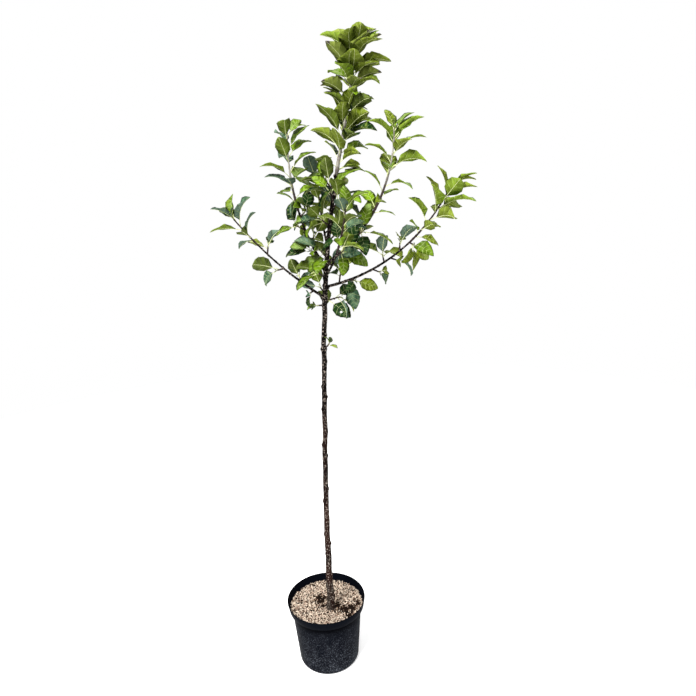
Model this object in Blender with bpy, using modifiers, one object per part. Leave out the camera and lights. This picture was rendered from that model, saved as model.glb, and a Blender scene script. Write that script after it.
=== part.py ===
"""Young apple tree in a black nursery pot, as separate solids: the pot, its compost and top dressing,
the trunk, the boughs, and one solid for each leafy shoot. Metres, +Z up. The origin is the centre of
the pot's flat underside, +X is the side of the low right bough, and -Y is the tree's front."""

import math
import random
from collections import namedtuple

import bmesh
import bpy
from mathutils import Vector
from mathutils.bvhtree import BVHTree

# Pot: a 12 litre nursery pot, 28 cm across its rim
RIM_RADIUS = 0.140
POT_HEIGHT = 0.240
BAND_HEIGHT = 0.031
BAND_FOOT_RADIUS = 0.1345
BODY_TOP_RADIUS = 0.1250
BODY_FOOT_RADIUS = 0.1080
FOOT_CORNER = 0.012
WALL = 0.0022
POT_STEPS = 40
CORNER_STEPS = 3
DRAIN_HOLES = 8
DRAIN_RADIUS = 0.006
DRAIN_CIRCLE = 0.075

# Filling
COMPOST_TOP = 0.2045
DRESSING_TOP = 0.2125
DRESSING_HOLE = 0.0175

# Trunk and leader, from the flat cut on the compost to the growing tip
TRUNK_LINE = (
    (0.0170, -0.0270, 0.2048),
    (0.0170, -0.0268, 0.2300),
    (0.0180, -0.0230, 0.350),
    (0.0220, -0.0180, 0.600),
    (0.0330, -0.0110, 0.880),
    (0.0480, -0.0050, 1.180),
    (0.0620, 0.0000, 1.360),
    (0.0830, 0.0040, 1.525),
    (0.1130, 0.0060, 1.690),
    (0.1490, 0.0040, 1.850),
    (0.1730, 0.0000, 1.965),
    (0.1830, -0.0020, 2.045),
)
TRUNK_RADII = (
    (0.205, 0.0098),
    (0.60, 0.0078),
    (1.36, 0.0069),
    (1.70, 0.0046),
    (1.90, 0.0030),
    (2.05, 0.0014),
)
FLARE = 0.0046
FLARE_HEIGHT = 0.016
TRUNK_END_HEIGHT = 1.700
LEADER_JOINT_HEIGHT = 1.875
TRUNK_STEPS = 30
TRUNK_BUNCH = 1.8
LEADER_STEPS = 9
LEADER_LEAVES = (17, 22)
LEADER_BLADES = (0.072, 0.072)
LEADER_PHASES = (330, 280)
LEADER_BARE = 0.02

# Fits and meshes
GAP = 0.0003
LEAF_CLEARANCE = 0.0010
SEAT_STEP = 0.00005
RIM_STEPS = 4
TRUNK_BEVEL = 4
LIMB_BEVEL = 2
LEADER_SIDES = 5
TWIG_SIDES = 3
TWIG_RADIUS = 0.0021
TWIG_TIP_RADIUS = 0.0013
LIMB_STEPS = 20
SPUR_STEPS = 4
SHOOT_BARE = 0.04
SPUR_BARE = 0.35

# Leaves: the spiral that they stand in, how far they lean from the stem at its foot and its tip, how
# much they reach up, and each blade's thickness, width, bow and fold, in shares of its length and in
# degrees. A blade's rows are shares of its length and of its half width
GOLDEN_ANGLE = 137.5
LAST_LEAF = 0.98
LEAN_FOOT = 62
LEAN_TIP = 28
REACH = 0.15
UPPER_INWARD = 0.65
UPPER_UPWARD = 0.50
LEAF_THICKNESS = 0.0010
PETIOLE_RADIUS = 0.0009
PETIOLE_SHARE = 0.28
WIDTH_SHARE = 0.66
BOW = 52
FOLD = 24
FOOT_SIZE = 0.78
MIDDLE_SIZE = 1.22
SIZE_FALL = 0.86
SIZE_CURVE = 1.5
BLADE_ROWS = ((0.20, 0.78), (0.48, 1.00), (0.78, 0.62))
TURNS = (0, 24, -24, 48, -48, 75, -75)

# How much chance changes each leaf: its turn round the stem, its lean, size, bow, fold and roll
CHANCES = ((-16, 16), (-8, 12), (0.84, 1.12), (-22, 26), (-8, 12), (-42, 42))
SEED = 12
NAME_SEED = 7

# Fruitlet, on a stalk from the end of its spur
FRUIT_SPUR = "fruit_spur"
FRUIT_RADIUS = 0.0105
FRUIT_STALK = 0.014
FRUIT_AZIMUTH = -60
FRUIT_RISE = -25

# Each limb: its height on the trunk, its heading and rise in degrees, how much it turns and lifts by
# its tip, its length and radii, the share that is bare bough, and its leafy end's leaves
Limb = namedtuple(
    "Limb",
    "name height azimuth turn rise lift bend length radius tip_radius bare leaves blade phase",
)
LIMBS = (
    Limb("low_left", 1.330, 190, 0, 36, 18, 1.0, 0.362, 0.0042, 0.0015, 0.70, 7, 0.060, 220),
    Limb("low_right", 1.364, 3, 0, 10, 52, 1.0, 0.500, 0.0046, 0.0015, 0.62, 14, 0.066, 260),
    Limb("left", 1.422, 158, 0, 55, 40, 0.85, 0.415, 0.0046, 0.0014, 0.44, 14, 0.066, 340),
    Limb("right", 1.438, -16, -4, 31, 58, 1.0, 0.450, 0.0046, 0.0014, 0.42, 15, 0.066, 290),
    Limb("front", 1.400, -66, 0, 30, 40, 1.0, 0.260, 0.0040, 0.0015, 0.45, 9, 0.066, 320),
    Limb("back", 1.485, 100, 0, 36, 38, 1.0, 0.280, 0.0040, 0.0015, 0.45, 9, 0.066, 150),
)

# Each spur: the limb that it stands on, its place there (a height on the trunk, or 0 to 1 along a
# bough), its heading, rise and lift in degrees, its length, its leaves, and how far they reach up (+)
# or hang (-)
Spur = namedtuple("Spur", "name limb place azimuth rise lift length leaves blade phase reach")
SPURS = (
    Spur("trunk_sprout", "trunk", 1.165, -15, 40, 20, 0.014, 3, 0.018, 230, 0.2),
    Spur("trunk_spur_1", "trunk", 1.306, 190, 5, -10, 0.020, 2, 0.034, 20, -0.2),
    Spur("trunk_spur_2", "trunk", 1.318, -14, 18, -5, 0.046, 4, 0.060, 280, -0.5),
    Spur("trunk_spur_3", "trunk", 1.345, 120, 25, 0, 0.030, 3, 0.058, 90, -0.3),
    Spur("trunk_spur_4", "trunk", 1.392, 172, 35, 10, 0.034, 4, 0.062, 300, -0.2),
    Spur("trunk_spur_5", "trunk", 1.420, 55, 35, 10, 0.036, 4, 0.062, 280, -0.2),
    Spur("trunk_spur_6", "trunk", 1.455, -128, 35, 10, 0.030, 4, 0.062, 230, -0.1),
    Spur("trunk_spur_7", "trunk", 1.505, 15, 38, 10, 0.030, 5, 0.064, 10, 0),
    Spur("trunk_spur_8", "trunk", 1.548, 195, 40, 10, 0.026, 4, 0.064, 300, 0),
    Spur("trunk_spur_9", "trunk", 1.578, 75, 40, 10, 0.026, 4, 0.064, 20, 0),
    Spur("trunk_spur_10", "trunk", 1.602, -25, 36, 10, 0.030, 5, 0.064, 300, 0),
    Spur("trunk_spur_11", "trunk", 1.628, -110, 42, 10, 0.022, 3, 0.062, 220, 0),
    Spur("trunk_spur_12", "trunk", 1.655, 178, 45, 10, 0.026, 5, 0.068, 90, 0.1),
    Spur("fruit_spur", "trunk", 1.678, -35, 28, 0, 0.020, 3, 0.062, 10, 0),
    Spur("low_left_spur_1", "low_left", 0.12, 235, -10, 0, 0.014, 2, 0.034, 290, -0.4),
    Spur("low_left_spur_2", "low_left", 0.30, 120, 40, 0, 0.018, 2, 0.050, 50, 0),
    Spur("low_left_spur_3", "low_left", 0.58, 200, -10, 0, 0.016, 2, 0.062, 70, -0.1),
    Spur("low_left_spur_4", "low_left", 0.84, 80, 60, 0, 0.026, 3, 0.048, 10, 0.1),
    Spur("low_right_spur_1", "low_right", 0.12, 70, 60, 0, 0.040, 4, 0.058, 300, 0),
    Spur("low_right_spur_2", "low_right", 0.24, -60, 0, 0, 0.022, 3, 0.054, 230, -0.5),
    Spur("low_right_spur_3", "low_right", 0.50, -30, -20, 0, 0.018, 2, 0.050, 320, -0.1),
    Spur("low_right_spur_4", "low_right", 0.64, 100, 55, 0, 0.022, 3, 0.062, 70, 0),
    Spur("low_right_spur_5", "low_right", 0.72, -40, -15, 0, 0.022, 2, 0.056, 10, -0.2),
    Spur("low_right_spur_6", "low_right", 0.84, 80, 60, 0, 0.024, 2, 0.056, 130, 0.2),
    Spur("low_right_spur_7", "low_right", 0.97, -70, -10, 0, 0.026, 4, 0.060, 290, -0.55),
    Spur("left_spur_1", "left", 0.18, 230, 30, 0, 0.024, 4, 0.062, 80, -0.3),
    Spur("left_spur_2", "left", 0.42, 60, 40, 0, 0.022, 4, 0.062, 310, 0),
    Spur("left_spur_3", "left", 0.64, 190, 30, 0, 0.022, 4, 0.062, 0, 0),
    Spur("left_spur_4", "left", 0.88, 320, 30, 0, 0.020, 3, 0.062, 240, 0),
    Spur("right_spur_1", "right", 0.22, -80, 10, 0, 0.026, 4, 0.062, 10, -0.4),
    Spur("right_spur_2", "right", 0.45, 60, 30, 0, 0.024, 4, 0.062, 230, 0),
    Spur("right_spur_3", "right", 0.68, -60, 20, 0, 0.022, 4, 0.062, 80, -0.2),
    Spur("right_spur_4", "right", 0.90, 120, 40, 0, 0.020, 3, 0.062, 90, 0.1),
    Spur("front_spur_1", "front", 0.45, -150, 30, 0, 0.020, 3, 0.060, 170, 0),
    Spur("front_spur_2", "front", 0.85, 0, 30, 0, 0.020, 3, 0.060, 70, 0),
    Spur("back_spur_1", "back", 0.45, 20, 30, 0, 0.020, 3, 0.062, 340, 0),
    Spur("back_spur_2", "back", 0.85, 170, 30, 0, 0.020, 3, 0.062, 260, 0),
)

# Colours (linear), roughness
BLACK_PLASTIC = ((0.018, 0.020, 0.024), 0.45)
COMPOST = ((0.035, 0.022, 0.014), 0.95)
DRESSING = ((0.52, 0.43, 0.32), 0.90)
BARK = ((0.085, 0.065, 0.055), 0.80)
FOLIAGE = ((0.10, 0.22, 0.03), 0.50)


def material(name, finish):
    """A plain Principled material."""
    colour, roughness = finish
    made = bpy.data.materials.new(name)
    made.use_nodes = True
    shader = made.node_tree.nodes["Principled BSDF"]
    shader.inputs["Base Color"].default_value = (*colour, 1.0)
    shader.inputs["Roughness"].default_value = roughness
    shader.inputs["Metallic"].default_value = 0.0
    return made


def add_object(name, data, finish, collection):
    made = bpy.data.objects.new(name, data)
    data.materials.append(material(name, finish))
    collection.objects.link(made)
    return made


# The lines that limbs follow


def heading(azimuth, rise):
    """The unit vector that points this way."""
    a = math.radians(azimuth)
    r = math.radians(rise)
    return Vector((math.cos(a) * math.cos(r), math.sin(a) * math.cos(r), math.sin(r)))


def grow(start, azimuth, rise, length, steps, turn=0.0, lift=0.0, bend=1.0):
    """Points of a limb that turns and lifts evenly from its start to its tip."""
    points = [start.copy()]
    for step in range(steps):
        t = ((step + 0.5) / steps) ** bend
        points.append(points[-1] + heading(azimuth + turn * t, rise + lift * t) * (length / steps))
    return points


def smooth_line(corners, height):
    """The point at this height on the smooth curve through the corners, which rise all the way."""
    last = len(corners) - 2
    k = max(i for i in range(last + 1) if corners[i][2] <= height or i == 0)
    a, b = Vector(corners[k]), Vector(corners[k + 1])
    before = Vector(corners[k - 1]) if k > 0 else a * 2 - b
    after = Vector(corners[k + 2]) if k < last else b * 2 - a
    t = (height - a.z) / (b.z - a.z)
    slope_a = (b - before) * ((b.z - a.z) / (b.z - before.z))
    slope_b = (after - a) * ((b.z - a.z) / (after.z - a.z))
    point = (
        a * (2 * t**3 - 3 * t**2 + 1)
        + slope_a * (t**3 - 2 * t**2 + t)
        + b * (3 * t**2 - 2 * t**3)
        + slope_b * (t**3 - t**2)
    )
    return Vector((point.x, point.y, height))


def trunk_radius(height):
    """The trunk's radius at this height, with the root flare at its foot."""
    radius = TRUNK_RADII[-1][1]
    for (low, low_radius), (high, high_radius) in zip(TRUNK_RADII, TRUNK_RADII[1:]):
        if height <= high:
            share = max(0.0, (height - low) / (high - low))
            radius = low_radius + (high_radius - low_radius) * share
            break
    return radius + FLARE * math.exp(-(height - TRUNK_LINE[0][2]) / FLARE_HEIGHT)


def trunk_stretch(low, high, steps, bunch=1.0):
    """Points and radii of the trunk's line between two heights, closer together at the foot."""
    heights = [low + (high - low) * (i / steps) ** bunch for i in range(steps + 1)]
    return [smooth_line(TRUNK_LINE, z) for z in heights], [trunk_radius(z) for z in heights]


def taper(start, end, steps):
    return [start + (end - start) * i / steps for i in range(steps + 1)]


def tangent(points, i):
    return (points[min(i + 1, len(points) - 1)] - points[max(i - 1, 0)]).normalized()


def place_on(points, radii, share):
    """Point, direction and radius at this share of a line's length."""
    spot = share * (len(points) - 1)
    i = min(int(spot), len(points) - 2)
    t = spot - i
    point = points[i].lerp(points[i + 1], t)
    radius = radii[i] + (radii[i + 1] - radii[i]) * t
    return point, (points[i + 1] - points[i]).normalized(), radius


def trunk_place(height):
    """Point, direction and radius of the trunk at this height."""
    low, high = (smooth_line(TRUNK_LINE, z) for z in (height - 0.005, height + 0.005))
    return smooth_line(TRUNK_LINE, height), (high - low).normalized(), trunk_radius(height)


def seat(place, direction, radius, sides):
    """Where a side limb of so many sides starts, so that its flat end clears the limb it stands on."""
    point, along, limb_radius = place
    side = direction.orthogonal().normalized()
    other = direction.cross(side)
    turns = [2 * math.pi * k / sides for k in range(sides)]
    corners = [(side * math.cos(a) + other * math.sin(a)) * radius for a in turns]
    rim = [corners[k - 1].lerp(corners[k], i / RIM_STEPS) for k in range(sides) for i in range(RIM_STEPS)]
    reach = limb_radius
    while True:
        spots = [direction * reach + corner for corner in rim]
        nearest = min((spot - along * spot.dot(along)).length for spot in spots)
        if nearest >= limb_radius + GAP:
            return point + direction * reach
        reach += SEAT_STEP


# The plan of the whole tree: every limb's line, and every leaf's place


class Leaf:
    """One leaf: where its stalk is rooted, and how its blade lies."""

    def __init__(self, root, stalk, stalk_length, upper, length, width, bow, fold):
        self.root = root
        self.base = root + stalk * stalk_length
        self.stalk = stalk
        self.length = length
        self.width = width
        self.bow = bow
        self.fold = fold
        self.side = stalk.cross(upper).normalized()
        self.upper = self.side.cross(stalk).normalized()

    def at(self, t):
        """Midrib point and upper direction at this share of the blade."""
        angle = self.bow * t
        out = math.sin(angle) / self.bow * self.length
        down = (1 - math.cos(angle)) / self.bow * self.length
        point = self.base + self.stalk * out - self.upper * down
        return point, self.upper * math.cos(angle) + self.stalk * math.sin(angle)

    def rings(self, extra=0.0):
        """Four-point rings of the leaf as a closed solid, from its stalk's root to the last row."""
        made = []
        across = self.side * (PETIOLE_RADIUS + extra)
        thick = self.upper * (PETIOLE_RADIUS + extra)
        for point in (self.root, self.base):
            made.append([point + across, point + thick, point - across, point - thick])
        for t, share in BLADE_ROWS:
            point, up = self.at(t)
            half = self.width / 2 * share + extra
            edge = up * (half * math.sin(self.fold))
            across = self.side * (half * math.cos(self.fold))
            thick = up * (LEAF_THICKNESS / 2 + extra)
            made.append([point + across + edge, point + thick, point - across + edge, point - thick])
        return made

    def tip(self, extra=0.0):
        return self.at(1.0 + extra / self.length)[0]


def leaf_mesh(leaf, extra=0.0, skip=0):
    """Vertices and faces of a leaf as a loft, or of its hull with some extra all round."""
    rings = leaf.rings(extra)[skip:]
    points = [p for ring in rings for p in ring] + [leaf.tip(extra)]
    faces = [(3, 2, 1, 0)]
    for i in range(len(rings) - 1):
        for k in range(4):
            a, b = 4 * i + k, 4 * i + (k + 1) % 4
            faces.append((a, b, b + 4, a + 4))
    last = 4 * (len(rings) - 1)
    for k in range(4):
        faces.append((last + k, last + (k + 1) % 4, len(points) - 1))
    return points, faces


def tube_mesh(points, radii, sides):
    """Vertices and faces of a tapering tube with flat ends."""
    made = []
    side = tangent(points, 0).orthogonal().normalized()
    for i, point in enumerate(points):
        along = tangent(points, i)
        side = (side - along * side.dot(along)).normalized()
        other = along.cross(side)
        for k in range(sides):
            a = 2 * math.pi * k / sides
            made.append(point + (side * math.cos(a) + other * math.sin(a)) * radii[i])
    faces = [tuple(reversed(range(sides)))]
    for i in range(len(points) - 1):
        for k in range(sides):
            a, b = sides * i + k, sides * i + (k + 1) % sides
            faces.append((a, b, b + sides, a + sides))
    faces.append(tuple(range(sides * (len(points) - 1), sides * len(points))))
    return made, faces


class Shoot:
    """One mass of foliage: its stem, and the leaves that fit round it."""

    def __init__(self, name, points, radii, sides, leaves, blade, phase):
        self.name = name
        self.points = points
        self.radii = radii
        self.sides = sides
        self.count = leaves
        self.blade = blade
        self.phase = phase
        self.bare = SHOOT_BARE
        self.reach = REACH
        self.leaves = []
        self.extras = []


def leaf_on(shoot, k, turn, chance):
    """Leaf number k of a shoot, turned this far round the stem from its place in the spiral."""
    t = shoot.bare + (LAST_LEAF - shoot.bare) * ((k + 0.5) / shoot.count)
    root, along, radius = place_on(shoot.points, shoot.radii, t)
    swing, open_by, size, droop, crease, roll = chance
    angle = math.radians(shoot.phase + GOLDEN_ANGLE * k + turn + swing)
    side = Vector((0, 0, 1)).cross(along).normalized()
    out = side * math.cos(angle) + along.cross(side) * math.sin(angle)
    lean = math.radians(LEAN_FOOT + (LEAN_TIP - LEAN_FOOT) * t + open_by)
    stalk = (along * math.cos(lean) + out * math.sin(lean)).normalized()
    stalk = (stalk + Vector((0, 0, shoot.reach))).normalized()
    inner = (along - stalk * along.dot(stalk)).normalized()
    upper = inner * UPPER_INWARD + Vector((0, 0, UPPER_UPWARD))
    turned_by = math.radians(roll)
    upper = upper.normalized() * math.cos(turned_by) + stalk.cross(upper).normalized() * math.sin(turned_by)
    swell = math.sin(math.pi * t * SIZE_FALL) ** SIZE_CURVE
    length = shoot.blade * size * (FOOT_SIZE + (MIDDLE_SIZE - FOOT_SIZE) * swell)
    return Leaf(
        root,
        stalk,
        length * PETIOLE_SHARE + radius,
        upper,
        length,
        length * WIDTH_SHARE,
        math.radians(BOW + droop),
        math.radians(FOLD + crease),
    )


def place_leaves(shoot, taken, rng):
    """Give a shoot its leaves, each turned until it clears what stands already, or left out."""
    own = ([], [])
    for k in range(shoot.count):
        chance = [rng.uniform(low, high) for low, high in CHANCES]
        for turn in TURNS:
            leaf = leaf_on(shoot, k, turn, chance)
            hull = BVHTree.FromPolygons(*leaf_mesh(leaf, LEAF_CLEARANCE))
            blade = BVHTree.FromPolygons(*leaf_mesh(leaf, LEAF_CLEARANCE, 1))
            if hull.overlap(taken):
                continue
            if own[0] and blade.overlap(BVHTree.FromPolygons(*own)):
                continue
            shoot.leaves.append(leaf)
            add_to(own, leaf_mesh(leaf))
            break


def add_to(mesh, more):
    points, faces = more
    start = len(mesh[0])
    mesh[0].extend(points)
    mesh[1].extend(tuple(start + i for i in face) for face in faces)


def ball_mesh(centre, radius):
    """Vertices and faces of a round fruitlet."""
    shape = bmesh.new()
    bmesh.ops.create_icosphere(shape, subdivisions=2, radius=radius)
    made = [v.co + centre for v in shape.verts], [tuple(v.index for v in f.verts) for f in shape.faces]
    shape.free()
    return made


def hang_fruit(shoot):
    """Add a fruitlet and its stalk to the end of a spur."""
    end = shoot.points[-1] - tangent(shoot.points, len(shoot.points) - 1) * TWIG_TIP_RADIUS * 2
    way = heading(FRUIT_AZIMUTH, FRUIT_RISE)
    stalk = [end, end + way * (FRUIT_STALK + FRUIT_RADIUS / 2)]
    shoot.extras.append(tube_mesh(stalk, [PETIOLE_RADIUS] * 2, TWIG_SIDES))
    shoot.extras.append(ball_mesh(end + way * (FRUIT_STALK + FRUIT_RADIUS), FRUIT_RADIUS))


def plan_tree():
    """Lines and radii of the trunk and boughs, and the shoots with their leaves."""
    lines = {"trunk": trunk_stretch(TRUNK_LINE[0][2], TRUNK_END_HEIGHT, TRUNK_STEPS, TRUNK_BUNCH)}
    shoots = []
    starts = (TRUNK_END_HEIGHT, LEADER_JOINT_HEIGHT)
    ends = (LEADER_JOINT_HEIGHT, TRUNK_LINE[-1][2])
    for i, name in enumerate(("leader_foot", "leader_tip")):
        points, radii = trunk_stretch(starts[i] + GAP, ends[i], LEADER_STEPS)
        made = Shoot(name, points, radii, LEADER_SIDES, LEADER_LEAVES[i], LEADER_BLADES[i], LEADER_PHASES[i])
        made.bare = LEADER_BARE
        shoots.append(made)
    for limb in LIMBS:
        way = heading(limb.azimuth, limb.rise)
        start = seat(trunk_place(limb.height), way, limb.radius, 4 + 2 * LIMB_BEVEL)
        course = (limb.azimuth, limb.rise, limb.length, LIMB_STEPS, limb.turn, limb.lift, limb.bend)
        points = grow(start, *course)
        radii = taper(limb.radius, limb.tip_radius, LIMB_STEPS)
        cut = round(limb.bare * LIMB_STEPS)
        lines[limb.name] = (points[: cut + 1], radii[: cut + 1])
        tip = [points[cut] + tangent(points, cut) * GAP] + points[cut + 1:]
        name = limb.name + "_shoot"
        shoots.append(Shoot(name, tip, radii[cut:], LEADER_SIDES, limb.leaves, limb.blade, limb.phase))
    for spur in SPURS:
        if spur.limb == "trunk":
            place = trunk_place(spur.place)
        else:
            place = place_on(*lines[spur.limb], spur.place)
        start = seat(place, heading(spur.azimuth, spur.rise), TWIG_RADIUS, TWIG_SIDES)
        points = grow(start, spur.azimuth, spur.rise, spur.length, SPUR_STEPS, 0.0, spur.lift)
        radii = taper(TWIG_RADIUS, TWIG_TIP_RADIUS, SPUR_STEPS)
        made = Shoot(spur.name, points, radii, TWIG_SIDES, spur.leaves, spur.blade, spur.phase)
        made.bare = SPUR_BARE
        made.reach = spur.reach
        shoots.append(made)
        if spur.name == FRUIT_SPUR:
            hang_fruit(made)
    fixed = ([], [])
    for points, radii in lines.values():
        add_to(fixed, tube_mesh(points, [r + LEAF_CLEARANCE for r in radii], 8))
    for i, shoot in enumerate(shoots):
        others = ([], [])
        add_to(others, fixed)
        for other in shoots:
            if other is not shoot:
                add_to(others, tube_mesh(other.points, [r + LEAF_CLEARANCE for r in other.radii], 5))
                for mesh in other.extras + [leaf_mesh(leaf) for leaf in other.leaves]:
                    add_to(others, mesh)
        rng = random.Random(SEED + i + NAME_SEED * len(shoot.name))
        place_leaves(shoot, BVHTree.FromPolygons(*others), rng)
    return lines, shoots


# The solids


def mesh_object(name, mesh, finish, collection):
    data = bpy.data.meshes.new(name)
    data.from_pydata([tuple(p) for p in mesh[0]], [], mesh[1])
    return add_object(name, data, finish, collection)


def turned(name, profile, finish, collection):
    """A solid of revolution about the pot's axis, from a profile that runs down its outer side."""
    data = bpy.data.meshes.new(name)
    edges = [(i, i + 1) for i in range(len(profile) - 1)]
    data.from_pydata([(r, 0.0, z) for r, z in profile], edges, [])
    made = add_object(name, data, finish, collection)
    screw = made.modifiers.new("turn", "SCREW")
    screw.steps = POT_STEPS
    screw.render_steps = POT_STEPS
    screw.use_merge_vertices = True
    screw.merge_threshold = 0.00001
    return made


def foot_corner(radius, floor, corner):
    """Points of the round between a wall and a floor, from the wall down to the floor."""
    points = []
    for i in range(CORNER_STEPS + 1):
        a = math.pi / 2 * i / CORNER_STEPS
        points.append((radius - corner + corner * math.cos(a), floor + corner - corner * math.sin(a)))
    return points


def inner_profile(gap):
    """The inside of the pot, from the band's foot down to the middle of the floor, set in by a gap."""
    step = POT_HEIGHT - BAND_HEIGHT + WALL
    foot = foot_corner(BODY_FOOT_RADIUS - WALL - gap, WALL + gap, FOOT_CORNER - WALL)
    return [(BODY_TOP_RADIUS - WALL - gap, step + gap)] + foot + [(0.0, WALL + gap)]


def cut_holes(target, places, radius, depth, collection):
    """Cut upright round holes through an object at these places."""
    for i, (x, y, z) in enumerate(places):
        shape = bmesh.new()
        bmesh.ops.create_cone(shape, cap_ends=True, segments=16, radius1=radius, radius2=radius, depth=depth)
        data = bpy.data.meshes.new(f"{target.name}_cutter_{i}")
        shape.to_mesh(data)
        shape.free()
        cutter = bpy.data.objects.new(data.name, data)
        cutter.location = (x, y, z)
        cutter.hide_render = True
        cutter.display_type = "WIRE"
        collection.objects.link(cutter)
        cut = target.modifiers.new(f"hole_{i}", "BOOLEAN")
        cut.operation = "DIFFERENCE"
        cut.object = cutter


def make_pot(parts, cutters):
    band_foot = POT_HEIGHT - BAND_HEIGHT
    profile = list(reversed(inner_profile(0.0)))
    profile += [(BAND_FOOT_RADIUS - WALL, band_foot + WALL), (RIM_RADIUS - WALL, POT_HEIGHT)]
    profile += [(RIM_RADIUS, POT_HEIGHT)]
    profile += [(BAND_FOOT_RADIUS, band_foot), (BODY_TOP_RADIUS, band_foot)]
    profile += foot_corner(BODY_FOOT_RADIUS, 0.0, FOOT_CORNER) + [(0.0, 0.0)]
    pot = turned("pot", profile, BLACK_PLASTIC, parts)
    turns = [2 * math.pi * (i + 0.5) / DRAIN_HOLES for i in range(DRAIN_HOLES)]
    places = [(DRAIN_CIRCLE * math.cos(a), DRAIN_CIRCLE * math.sin(a), 0.0) for a in turns]
    cut_holes(pot, places, DRAIN_RADIUS, WALL * 4, cutters)


def inner_radius(height):
    """The inside radius of the pot's body at this height."""
    share = (height - FOOT_CORNER) / (POT_HEIGHT - BAND_HEIGHT - FOOT_CORNER)
    return BODY_FOOT_RADIUS + (BODY_TOP_RADIUS - BODY_FOOT_RADIUS) * share - WALL


def make_filling(parts, cutters):
    """The compost, and the layer of pale dressing on it with a hole for the trunk's foot."""
    top = [(0.0, COMPOST_TOP), (inner_radius(COMPOST_TOP) - GAP * 2, COMPOST_TOP)]
    turned("compost", top + inner_profile(GAP)[1:], COMPOST, parts)
    step = POT_HEIGHT - BAND_HEIGHT + WALL + GAP
    floor = COMPOST_TOP + GAP
    band = BAND_FOOT_RADIUS - WALL - GAP
    low = inner_radius(floor) - GAP * 2
    profile = [(0.0, DRESSING_TOP), (band, DRESSING_TOP), (band, step)]
    profile += [(low, step), (low, floor), (0.0, floor)]
    dressing = turned("top_dressing", profile, DRESSING, parts)
    x, y, z = TRUNK_LINE[0]
    cut_holes(dressing, [(x, y, DRESSING_TOP)], DRESSING_HOLE, FLARE_HEIGHT * 3, cutters)


def make_limb(name, line, sides_level, parts):
    """A limb as a round curve that tapers along its line."""
    points, radii = line
    curve = bpy.data.curves.new(name, "CURVE")
    curve.dimensions = "3D"
    curve.bevel_depth = 1.0
    curve.bevel_resolution = sides_level
    curve.render_resolution_u = 0
    curve.use_fill_caps = True
    spline = curve.splines.new("POLY")
    spline.points.add(len(points) - 1)
    for spot, point, radius in zip(spline.points, points, radii):
        spot.co = (*point, 1.0)
        spot.radius = radius
    add_object(name, curve, BARK, parts)


def volume(faces):
    return sum(f.verts[0].co.dot(f.verts[1].co.cross(f.verts[2].co)) for f in faces) / 6


def keep_main_body(mesh):
    """Drop loose scraps and fill sealed hollows. True if one closed body is left."""
    shape = bmesh.new()
    shape.from_mesh(mesh)
    bmesh.ops.remove_doubles(shape, verts=shape.verts, dist=0.000002)
    bmesh.ops.dissolve_degenerate(shape, edges=shape.edges, dist=0.000002)
    bmesh.ops.triangulate(shape, faces=shape.faces)
    left = set(shape.faces)
    bodies = []
    while left:
        body = {left.pop()}
        queue = list(body)
        while queue:
            face = queue.pop()
            for edge in face.edges:
                for other in edge.link_faces:
                    if other in left:
                        left.remove(other)
                        body.add(other)
                        queue.append(other)
        bodies.append(body)
    bodies.sort(key=lambda body: volume(body), reverse=True)
    spare = [face for body in bodies[1:] for face in body]
    bmesh.ops.delete(shape, geom=spare, context="FACES")
    closed = all(len(edge.link_faces) == 2 for edge in shape.edges) and volume(bodies[0]) > 0
    shape.to_mesh(mesh)
    shape.free()
    return closed


def fuse(stem, meshes):
    """Join the leaves to their stem in one union on a collection."""
    pieces = bpy.data.collections.new(stem.name + "_pieces")
    bpy.context.scene.collection.children.link(pieces)
    for i, mesh in enumerate(meshes):
        data = bpy.data.meshes.new(f"{stem.name}_piece_{i}")
        data.from_pydata([tuple(p) for p in mesh[0]], [], mesh[1])
        pieces.objects.link(bpy.data.objects.new(data.name, data))
    union = stem.modifiers.new("union", "BOOLEAN")
    union.operation = "UNION"
    union.operand_type = "COLLECTION"
    union.collection = pieces
    plain = stem.data
    for solver in ("EXACT", "MANIFOLD"):
        union.solver = solver
        graph = bpy.context.evaluated_depsgraph_get()
        joined = bpy.data.meshes.new_from_object(stem.evaluated_get(graph))
        if keep_main_body(joined):
            break
    else:
        raise RuntimeError(f"{stem.name} didn't join into one closed body")
    stem.modifiers.clear()
    stem.data = joined
    bpy.data.meshes.remove(plain)
    for piece in list(pieces.objects):
        bpy.data.objects.remove(piece)
    bpy.data.collections.remove(pieces)


def make_shoot(shoot, parts):
    tube = tube_mesh(shoot.points, shoot.radii, shoot.sides)
    stem = mesh_object(shoot.name, tube, FOLIAGE, parts)
    fuse(stem, shoot.extras + [leaf_mesh(leaf) for leaf in shoot.leaves])


def main():
    for old in list(bpy.data.objects):
        bpy.data.objects.remove(old)
    parts = bpy.data.collections.new("potted_apple_tree")
    cutters = bpy.data.collections.new("cutters")
    for collection in (parts, cutters):
        bpy.context.scene.collection.children.link(collection)
    make_pot(parts, cutters)
    make_filling(parts, cutters)
    lines, shoots = plan_tree()
    for name, line in lines.items():
        if name == "trunk":
            make_limb("trunk", line, TRUNK_BEVEL, parts)
        else:
            make_limb("bough_" + name, line, LIMB_BEVEL, parts)
    for shoot in shoots:
        make_shoot(shoot, parts)


if __name__ == "__main__":
    main()
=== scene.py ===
"""Looks of a young apple tree in a black nursery pot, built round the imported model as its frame.
The tree's plan is worked out by the same rule as its solids and carried to finer leaves, stalks, buds
and bark. Metres, +Z up, with the origin under the middle of the pot."""

import functools
import math
import random
from collections import namedtuple

import bmesh
import bpy
import numpy as np
from bpy.props import FloatProperty, FloatVectorProperty, IntProperty, PointerProperty
from mathutils import Matrix, Vector, noise
from mathutils.bvhtree import BVHTree


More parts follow.
